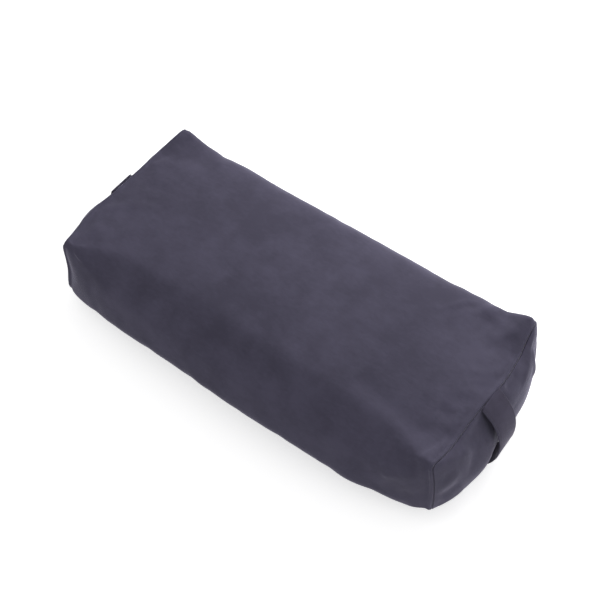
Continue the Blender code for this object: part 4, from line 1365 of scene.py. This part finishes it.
def coons(sides):
    """Grid that fills four sides of points, in the plane of Y and Z."""
    top, front, bottom, back = sides
    top, front = top[::-1], front[::-1]
    v = np.linspace(0, 1, len(back))[:, None, None]
    u = np.linspace(0, 1, len(top))[None, :, None]
    ruled_up = (1 - v) * bottom[None] + v * top[None]
    ruled_across = (1 - u) * front[:, None] + u * back[:, None]
    corners = (
        (1 - u) * (1 - v) * bottom[0]
        + u * (1 - v) * bottom[-1]
        + (1 - u) * v * top[0]
        + u * v * top[-1]
    )
    return ruled_up + ruled_across - corners


class BOLSTER_OT_end_panels(bpy.types.Operator):
    """Sew a domed panel into each end of the cover"""

    bl_idname = "bolster.end_panels"
    bl_label = "End Panels"

    def execute(self, context):
        settings = context.scene.bolster_cover
        grid = Grid(FINE_CELL)
        across = round(SEAM_WIDTH / settings.cell * PANEL_FINENESS)
        upright = round(SEAM_HEIGHT / settings.cell * PANEL_FINENESS)
        counts = (across, upright, across, upright)
        for end, side in ENDS.items():
            sides = rim_loop(grid, side, PANEL_INSET, counts)
            patch = coons(sides)
            x, share = dome_x(grid, side, patch[..., 1], patch[..., 2])
            patch[..., 0] = x
            inner = (1 - past(share, *PANEL_SLACK_END))[..., None]
            patch += (give(patch) - patch) * inner
            hold = past(share, *PANEL_HOLD)
            folds = settle(patch, hold, settings, cyclic=False)
            normals = normals_of(patch, cyclic=False)
            near_rim = mound(share, 1.0, 1.0, PANEL_GATHER_WIDTH)
            near_rim *= 1 - past(share, *PANEL_GATHERS_END)
            gathers = soft_noise(patch * PANEL_GATHER_STRETCH, PANEL_GATHER_SIZE, seed=11.0)
            even = patch
            patch = patch + PANEL_FOLDS * folds * (1 - hold)[..., None]
            laid = fold_heights(patch) * (1 - past(share, *PANEL_FOLDS_END))
            puckered = settings.pucker * PANEL_GATHER_RISE * near_rim * gathers
            patch += normals * (puckered + laid)[..., None]
            patch = kept_off_liner(patch, even, normals)
            obj = self.sew(grid, end, side, patch, counts)
            thicken(obj, settings.cloth)
            wear(obj, cover_material(), replaced=[f"end_panel_{end}"])
        return {"FINISHED"}

    def sew(self, grid, end, side, patch, counts):
        """Patch with its edge rounded over and turned into the seam."""
        rows, columns = patch.shape[:2]
        points = [patch.reshape(-1, 3)]
        faces = []
        for i in range(rows - 1):
            for j in range(columns - 1):
                corner = i * columns + j
                faces.append((corner, corner + 1, corner + columns + 1, corner + columns))
        index = np.arange(rows * columns).reshape(rows, columns)
        border = np.concatenate(
            [index[-1, ::-1][:-1], index[::-1, 0][:-1], index[0][:-1], index[:, -1][:-1]]
        )
        size = rows * columns
        for inset, out in PANEL_TURN:
            loops = rim_loop(grid, side, inset, counts)
            ring = np.concatenate([stretch[:-1] for stretch in loops])
            ring[:, 0] += side * out
            points.append(ring)
            fresh = np.arange(size, size + len(ring))
            size += len(ring)
            for i in range(len(ring)):
                j = (i + 1) % len(ring)
                faces.append((border[i], border[j], fresh[j], fresh[i]))
            border = fresh
        name = f"end_panel_{end}_cloth"
        mesh = bpy.data.meshes.new(name)
        mesh.from_pydata(np.concatenate(points).tolist(), [], [tuple(map(int, face)) for face in faces])
        return finish_object(name, mesh)


def seam_middles(side):
    """X and z where an end seam crosses the handle's middle, at the top and at the foot."""
    rim = Grid(FINE_CELL).ring(float(side))
    level = np.abs(rim[:, 1] - SHIFT)
    top = rim[np.argmin(np.where(rim[:, 2] > SEAM_HEIGHT / 2, level, 1.0))]
    foot = rim[np.argmin(np.where(rim[:, 2] < SEAM_HEIGHT / 2, level, 1.0))]
    return np.array([abs(top[0]), top[2]]), np.array([abs(foot[0]), foot[2]])


def bowed_line(count):
    """Outer face of the near handle as x and z, bowed out from one seam to the other."""
    top, foot = seam_middles(1)
    points = (
        top + HANDLE_TOP_SEAM,
        top + HANDLE_TOP_PULL,
        foot + HANDLE_FOOT_PULL,
        foot + HANDLE_FOOT_SEAM,
    )
    t = np.linspace(0, 1, count)[:, None]
    u = 1 - t
    weights = (u**3, 3 * u**2 * t, 3 * u * t**2, t**3)
    return sum(point * weight for point, weight in zip(points, weights))


def lying_line(count, half, thickness):
    """Outer face of the far handle as x and z, flat on its end panel."""
    grid = Grid(FINE_CELL)
    top, foot = seam_middles(-1)
    share = (1 - np.cos(np.linspace(0, math.pi, count))) / 2
    z = blend(top[1] - HANDLE_LYING_ROOM, foot[1] + HANDLE_LYING_ROOM, share)
    across = SHIFT + half * np.linspace(-1, 1, 5)
    faces = [-dome_x(grid, -1, np.full(count, y), z)[0] for y in across]
    x = np.max(faces, axis=0) + HANDLE_LYING_GAP + thickness
    x[0], x[-1] = top[0] + HANDLE_TOP_SEAM[0], foot[0] + HANDLE_FOOT_SEAM[0]
    return np.stack([x, z], axis=1)


def squared_off(wave, power):
    """Sine or cosine drawn towards a square wave, which gives an oblong instead of a round."""
    return np.copysign(np.abs(wave) ** power, wave)


def slopes_of(line):
    """Unit directions along a line of points."""
    along = np.gradient(line, axis=0)
    return along / np.linalg.norm(along, axis=1, keepdims=True)


class BOLSTER_OT_handles(bpy.types.Operator):
    """Fold, stitch and seat the two carry handles"""

    bl_idname = "bolster.handles"
    bl_label = "Handles"

    def execute(self, context):
        settings = context.scene.bolster_handle
        sewing = context.scene.bolster_stitch
        for end, side in ENDS.items():
            low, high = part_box(f"handle_{end}")
            half = (high[1] - low[1]) / 2
            middle = (high[1] + low[1]) / 2
            if end == "near":
                place = bowed_line(HANDLE_ROWS)
            else:
                place = lying_line(HANDLE_ROWS, half, settings.thickness)
            along = slopes_of(place)
            strip, across = self.strip(settings, place, along, half)
            strip[..., 0] *= side
            strip[..., 1] += middle
            travel = np.linspace(0, STRIP_LENGTH, len(strip))[:, None]
            uv = np.stack([across, np.broadcast_to(travel, across.shape)], -1)
            strap = grid_object(f"handle_{end}_strap", strip, uv=uv)
            close_ends(strap, strip.shape[1])
            soften = strap.modifiers.new("soft surface", "SUBSURF")
            soften.levels = soften.render_levels = 1
            wear(strap, handle_material(), body=None, replaced=[f"handle_{end}"])
            lines = []
            for edge in (-1, 1):
                offset = edge * (half - settings.edge_stitch)
                line = []
                for (x, z), (slope_x, slope_z) in zip(place[1:-1], along[1:-1]):
                    normal = (side * -slope_z, 0.0, slope_x)
                    line.append(((side * x, middle + offset, z), normal))
                lines.append(line)
            thread = stitches(f"handle_{end}_stitching", lines, sewing)
            wear(thread, thread_material(), body=None)
            for piece in (strap, thread):
                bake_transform(piece)
        return {"FINISHED"}

    def strip(self, settings, place, along, half):
        """Rounded cross-section carried along the handle's line, and its places across."""
        angle = 2 * math.pi * np.arange(STRIP_SIDES) / STRIP_SIDES
        across = squared_off(np.cos(angle), STRIP_EDGE_POWER) * half
        depth = squared_off(np.sin(angle), STRIP_FACE_POWER) / 2
        stitched = half - settings.edge_stitch
        pressed = 1 - mound(np.abs(across), STITCH_PRESS, stitched, STITCH_PRESS_WIDTH)
        depth = depth * pressed * settings.thickness
        outward = np.stack([-along[:, 1], along[:, 0]], axis=1)
        centre = place - outward * settings.thickness / 2
        rows = len(place)
        grid = np.zeros((rows, STRIP_SIDES, 3))
        grid[..., 0] = centre[:, None, 0] + outward[:, None, 0] * depth
        grid[..., 1] = across
        grid[..., 2] = centre[:, None, 1] + outward[:, None, 1] * depth
        return grid, np.broadcast_to(across, (rows, STRIP_SIDES))


def close_ends(obj, sides):
    """Fill the two open ends of a tube."""
    bm = bmesh.new()
    bm.from_mesh(obj.data)
    edges = [edge for edge in bm.edges if edge.is_boundary]
    bmesh.ops.holes_fill(bm, edges=edges, sides=sides)
    bmesh.ops.recalc_face_normals(bm, faces=bm.faces)
    bm.to_mesh(obj.data)
    bm.free()


def soften_edges(name, width, material):
    """Round the edges of a rigid part from the frame and give it its material."""
    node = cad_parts[name]
    weld = node.modifiers.new("weld", "WELD")
    weld.merge_threshold = 0.00001
    edge = node.modifiers.new("rounded edges", "BEVEL")
    edge.width = width
    edge.segments = 2
    edge.limit_method = "ANGLE"
    edge.angle_limit = math.radians(40)
    for slot in node.material_slots:
        slot.material = material
    return node


class BOLSTER_OT_zip(bpy.types.Operator):
    """Finish the zip: woven tapes, moulded teeth, slider, pull, stops and its stitching"""

    bl_idname = "bolster.zip"
    bl_label = "Zip"

    def execute(self, context):
        for row in ("upper", "lower"):
            self.tape(row)
            soften_edges(f"zip_teeth_{row}", TEETH_EDGE, teeth_material())
            soften_edges(f"zip_top_stop_{row}", STOP_EDGE, metal_material())
        soften_edges("zip_bottom_stop", STOP_EDGE, metal_material())
        soften_edges("zip_slider", SLIDER_EDGE, metal_material())
        soften_edges("zip_pull", SLIDER_EDGE, metal_material())
        self.sewing(context.scene.bolster_stitch)
        return {"FINISHED"}

    def tape(self, row):
        """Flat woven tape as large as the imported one."""
        low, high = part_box(f"zip_tape_{row}")
        xs = np.linspace(low[0], high[0], TAPE_POINTS[0])
        zs = np.linspace(low[2], high[2], TAPE_POINTS[1])
        outer = np.zeros((len(xs), len(zs), 3))
        outer[..., 0] = xs[:, None]
        outer[..., 1] = high[1]
        outer[..., 2] = zs
        uv = np.stack([outer[..., 0], outer[..., 2]], -1)
        tape = grid_object(f"zip_tape_{row}_weave", outer, cyclic=False, uv=uv)
        normal_side = tape.data.polygons[0].normal.y
        wall = tape.modifiers.new("cloth thickness", "SOLIDIFY")
        wall.thickness = high[1] - low[1]
        wall.offset = -1 if normal_side > 0 else 1
        wear(tape, tape_material(), replaced=[f"zip_tape_{row}"])

    def sewing(self, settings):
        """Stitches that hold the tapes, round the opening."""
        out = ZIP_STITCH_OUT
        face = BACK_FACE + ZIP_STITCH_RISE
        up = (0.0, 1.0, 0.0)
        low_z, high_z = ZIP_Z - SLOT_HALF_HEIGHT - out, ZIP_Z + SLOT_HALF_HEIGHT + out
        corners = [
            (SLOT_LOW - out, low_z),
            (SLOT_HIGH + out, low_z),
            (SLOT_HIGH + out, high_z),
            (SLOT_LOW - out, high_z),
        ]
        lines = []
        for (x0, z0), (x1, z1) in zip(corners, corners[1:] + corners[:1]):
            lines.append([((x0, face, z0), up), ((x1, face, z1), up)])
        thread = stitches("zip_stitching", lines, settings)
        wear(thread, thread_material())


def allowance_room(station):
    """Share of the end room that the layers leave at a station for the seam allowances."""
    return 1 - past(seam_distance(station), ALLOWANCE_ZONE, ALLOWANCE_FADE)


class BOLSTER_OT_insert(bpy.types.Operator):
    """Make the insert: seam tapes, liner bag, wadding and foam"""

    bl_idname = "bolster.insert"
    bl_label = "Insert"

    def execute(self, context):
        grid = Grid(LAYER_CELL)
        self.seam_tapes(grid)
        self.liner(grid)
        self.wadding(grid)
        self.foam()
        return {"FINISHED"}

    def seam_tapes(self, grid):
        """Tape folded over the raw edges inside each end seam."""
        for end, side in ENDS.items():
            places = np.linspace(*BINDING_REACH, 4)
            rows = np.array([grid.ring(side * station_at(place), BINDING_INSET) for place in places])
            uv = np.stack([rows[..., 1] + rows[..., 2], rows[..., 0]], -1)
            tape = grid_object(f"seam_tape_{end}_weave", rows, uv=uv)
            thicken(tape, INNER_CLOTH)
            wear(tape, tape_material("seam binding"), replaced=[f"seam_tape_{end}"])

    def liner(self, grid):
        """Cotton bag: a wrap and two domed ends."""
        last = station_at(LINER_SEAM)
        rows = []
        for station in spread(-last, last, LINER_STEP):
            inset = LINER_INSET + LINER_END_ROOM * allowance_room(station)
            rows.append(grid.ring(station, inset, ZIP_ROOM))
        rows = np.array(rows)
        wrap = grid_object("liner_wrap_cloth", rows, uv=wrap_uv(rows))
        thicken(wrap, INNER_CLOTH)
        wear(wrap, liner_material(), replaced=["liner_wrap"])
        for end, side in ENDS.items():
            dome = domed(f"liner_end_{end}_cloth", grid, side)
            wear(dome, liner_material(), replaced=[f"liner_end_{end}"])

    def wadding(self, grid):
        """Soft fibre round the foam and over its ends."""
        low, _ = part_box("foam_core_bottom")
        _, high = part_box("foam_core_top")
        places = spread(low[0] + WADDING_SHORT, high[0] - WADDING_SHORT, WADDING_STEP)
        rows = []
        for x in places:
            station = x / (SEAM_LENGTH / 2)
            inset = WADDING_INSET + (LINER_END_ROOM + WADDING_END_ROOM) * allowance_room(station)
            ring = grid.ring(station, inset, ZIP_ROOM)
            ring[:, 0] = x
            rows.append(ring)
        half_width = (high[1] - low[1]) / 2 + FOAM_ROOM
        radii = [WADDING_HOLE_RADIUS] * 4
        y, z = grid.outline(half_width, low[2] - FOAM_ROOM, high[2] + FOAM_ROOM, radii)
        inner = []
        for x in reversed(places):
            inner.append(np.stack([np.full_like(y, x), y + (low[1] + high[1]) / 2, z], axis=1))
        wrap = sleeve("batting_wrap_fibre", np.array(rows + inner))
        wear(wrap, wadding_material(), replaced=["batting_wrap"])
        for end, side in ENDS.items():
            pad = pad_end(f"batting_end_{end}_fibre", grid, side, high[0] + FOAM_ROOM)
            wear(pad, wadding_material(), replaced=[f"batting_end_{end}"])

    def foam(self):
        """Three cut slabs with softly broken edges."""
        for level in ("bottom", "middle", "top"):
            low, high = (np.array(corner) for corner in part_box(f"foam_core_{level}"))
            bm = bmesh.new()
            bmesh.ops.create_cube(bm, size=1)
            bmesh.ops.scale(bm, vec=Vector(high - low), verts=bm.verts)
            bmesh.ops.translate(bm, vec=Vector((high + low) / 2), verts=bm.verts)
            bmesh.ops.bevel(
                bm,
                geom=bm.edges[:],
                offset=FOAM_EDGE,
                segments=4,
                profile=0.5,
                affect="EDGES",
                clamp_overlap=True,
            )
            mesh = bpy.data.meshes.new(f"foam_slab_{level}")
            bm.to_mesh(mesh)
            bm.free()
            slab = finish_object(f"foam_slab_{level}", mesh)
            wear(slab, foam_material(), replaced=[f"foam_core_{level}"])


def sleeve(name, rows):
    """Closed solid through rings, the last joined to the first."""
    count, columns = rows.shape[:2]
    index = np.arange(count * columns).reshape(count, columns)
    after = np.roll(index, -1, axis=1)
    below, below_after = np.roll(index, -1, axis=0), np.roll(after, -1, axis=0)
    faces = np.stack([index, after, below_after, below], axis=-1).reshape(-1, 4)
    mesh = bpy.data.meshes.new(name)
    mesh.from_pydata(rows.reshape(-1, 3).tolist(), [], faces.tolist())
    return finish_object(name, mesh)


def dome_rings(side, rim):
    """Rings from an end's middle out to its rim."""
    rings = []
    middle = np.array([rim[:, 0].mean(), SHIFT, SEAM_HEIGHT / 2])
    for share in DOME_SHARES:
        ring = middle + (rim - middle) * share
        ring[:, 0] += side * end_swell(side, share, ring[:, 1])
        rings.append(ring)
    return rings


def domed(name, grid, side):
    """Domed end of the liner, with its seam allowance turned in and its middle filled."""
    inset = LINER_INSET + LINER_END_ROOM + LINER_END_GAP
    rim = grid.ring(side * station_at(LINER_END_SEAM), inset, ZIP_ROOM)
    rings = dome_rings(side, rim)
    turned_in = station_at(LINER_END_SEAM + LINER_END_ALLOWANCE)
    rings.append(grid.ring(side * turned_in, inset, ZIP_ROOM))
    rows = np.array(rings)
    obj = grid_object(name, rows, uv=np.stack([rows[..., 1], rows[..., 2]], -1))
    cap_ring(obj, rows[0])
    thicken(obj, INNER_CLOTH)
    return obj


def cap_ring(obj, ring):
    """Fill the small ring at a dome's middle."""
    bm = bmesh.new()
    bm.from_mesh(obj.data)
    near = Vector(ring.mean(axis=0))
    reach = max((Vector(point) - near).length for point in ring) * CAP_MARGIN
    edges = [
        edge
        for edge in bm.edges
        if edge.is_boundary and all((vertex.co - near).length < reach for vertex in edge.verts)
    ]
    bmesh.ops.holes_fill(bm, edges=edges, sides=0)
    bmesh.ops.recalc_face_normals(bm, faces=bm.faces)
    bm.to_mesh(obj.data)
    bm.free()


def pad_end(name, grid, side, back_x):
    """Solid pad between the foam's end and the liner's dome."""
    inset = WADDING_INSET + LINER_END_ROOM + WADDING_END_ROOM
    rim = grid.ring(side * station_at(WADDING_END), inset, ZIP_ROOM)
    rings = dome_rings(side, rim)
    station = back_x / (SEAM_LENGTH / 2)
    back = grid.ring(side * station, inset, ZIP_ROOM)
    back[:, 0] = side * back_x
    rings.append(back)
    middle = np.array([side * back_x, SHIFT, SEAM_HEIGHT / 2])
    for share in PAD_BACK_SHARES:
        rings.append(middle + (back - middle) * share)
    obj = grid_object(name, np.array(rings))
    close_ends(obj, 0)
    return obj


class BOLSTER_OT_stage(bpy.types.Operator):
    """Set the pale floor, the soft light and the camera"""

    bl_idname = "bolster.stage"
    bl_label = "Stage"

    def execute(self, context):
        settings = context.scene.bolster_stage
        self.floor(settings)
        self.world()
        for name, (place, size, power) in LAMPS.items():
            self.lamp(name, place, size, power)
        self.camera(settings)
        context.scene.view_settings.view_transform = "Standard"
        return {"FINISHED"}

    def floor(self, settings):
        bpy.ops.mesh.primitive_plane_add(size=FLOOR_SIZE, location=(0, 0, -FLOOR_DROP))
        floor = bpy.context.object
        floor.name = "studio_floor"
        made = bpy.data.materials.new("pale studio floor")
        made.use_nodes = True
        sketch = Sketch(made.node_tree)
        shader = made.node_tree.nodes["Principled BSDF"]
        shader.inputs["Base Color"].default_value = (0.86, 0.86, 0.86, 1)
        shader.inputs["Roughness"].default_value = 0.9
        shader.inputs["Specular IOR Level"].default_value = 0.0
        seen = self.seen(sketch)
        glow = sketch.math("MULTIPLY", seen, settings.floor_glow)
        shader.inputs["Emission Color"].default_value = (1, 1, 1, 1)
        made.node_tree.links.new(glow, shader.inputs["Emission Strength"])
        floor.data.materials.append(made)

    def seen(self, sketch):
        """1 where the camera, a reflection or clear glass sees the surface."""
        path = sketch.add("ShaderNodeLightPath")
        seen = sketch.math("MAXIMUM", path.outputs["Is Camera Ray"], path.outputs["Is Glossy Ray"])
        return sketch.math("MAXIMUM", seen, path.outputs["Is Transmission Ray"])

    def world(self):
        world = bpy.data.worlds.new("soft studio")
        world.use_nodes = True
        bpy.context.scene.world = world
        sketch = Sketch(world.node_tree)
        back = world.node_tree.nodes["Background"]
        back.inputs["Color"].default_value = (1, 1, 1, 1)
        strength = sketch.math("MULTIPLY_ADD", self.seen(sketch), WORLD_SEEN, WORLD_LIGHT)
        world.node_tree.links.new(strength, back.inputs["Strength"])

    def lamp(self, name, place, size, power):
        light = bpy.data.lights.new(name, "AREA")
        light.shape = "ELLIPSE"
        light.size, light.size_y = size
        light.energy = power
        obj = put_in_scene(name, light)
        obj.location = place
        obj.visible_camera = False
        aim = Vector(LAMP_AIM) - Vector(place)
        obj.rotation_euler = aim.to_track_quat("-Z", "Y").to_euler()

    def camera(self, settings):
        """Camera at the viewing angle, from its azimuth, elevation, distance and roll."""
        azimuth, elevation, roll = settings.azimuth, settings.elevation, settings.roll
        flat = math.cos(elevation)
        back = Vector((math.sin(azimuth) * flat, -math.cos(azimuth) * flat, math.sin(elevation)))
        right = (-back).cross(Vector((0, 0, 1))).normalized()
        up = right.cross(-back)
        target = Vector((0, SHIFT, AIM_HEIGHT)) + right * AIM_RIGHT + up * AIM_UP
        rolled_right = math.cos(roll) * right + math.sin(roll) * up
        rolled_up = -math.sin(roll) * right + math.cos(roll) * up
        data = bpy.data.cameras.new("camera")
        data.sensor_width = 36
        data.lens = settings.lens
        data.clip_start = 0.05
        camera = put_in_scene("camera", data)
        turn = Matrix((rolled_right, rolled_up, back)).transposed().to_4x4()
        camera.matrix_world = Matrix.Translation(target + back * settings.distance) @ turn
        bpy.context.scene.camera = camera


class BOLSTER_PT_panel(bpy.types.Panel):
    """Buttons that make the bolster's pieces, and their sizes and colours"""

    bl_label = "Yoga Bolster"
    bl_idname = "BOLSTER_PT_panel"
    bl_space_type = "VIEW_3D"
    bl_region_type = "UI"
    bl_category = "Bolster"

    def draw(self, context):
        column = self.layout.column()
        for operator in OPERATORS:
            column.operator(operator.bl_idname)
        for group in SETTINGS:
            box = self.layout.box()
            values = getattr(context.scene, group)
            for key in values.__annotations__:
                box.prop(values, key)


SETTINGS = {
    "bolster_cover": CoverSettings,
    "bolster_handle": HandleSettings,
    "bolster_stitch": StitchSettings,
    "bolster_finish": FinishSettings,
    "bolster_stage": StageSettings,
}
OPERATORS = (
    BOLSTER_OT_stage,
    BOLSTER_OT_cover_wrap,
    BOLSTER_OT_end_panels,
    BOLSTER_OT_handles,
    BOLSTER_OT_zip,
    BOLSTER_OT_insert,
)


def register():
    for made in (*SETTINGS.values(), *OPERATORS, BOLSTER_PT_panel):
        bpy.utils.register_class(made)
    for name, group in SETTINGS.items():
        setattr(bpy.types.Scene, name, PointerProperty(type=group))


def unregister():
    for name in SETTINGS:
        delattr(bpy.types.Scene, name)
    for made in reversed((*SETTINGS.values(), *OPERATORS, BOLSTER_PT_panel)):
        bpy.utils.unregister_class(made)


def main():
    register()
    bpy.ops.bolster.stage()
    bpy.ops.bolster.cover_wrap()
    bpy.ops.bolster.end_panels()
    bpy.ops.bolster.handles()
    bpy.ops.bolster.zip()
    bpy.ops.bolster.insert()


if __name__ == "__main__":
    main()
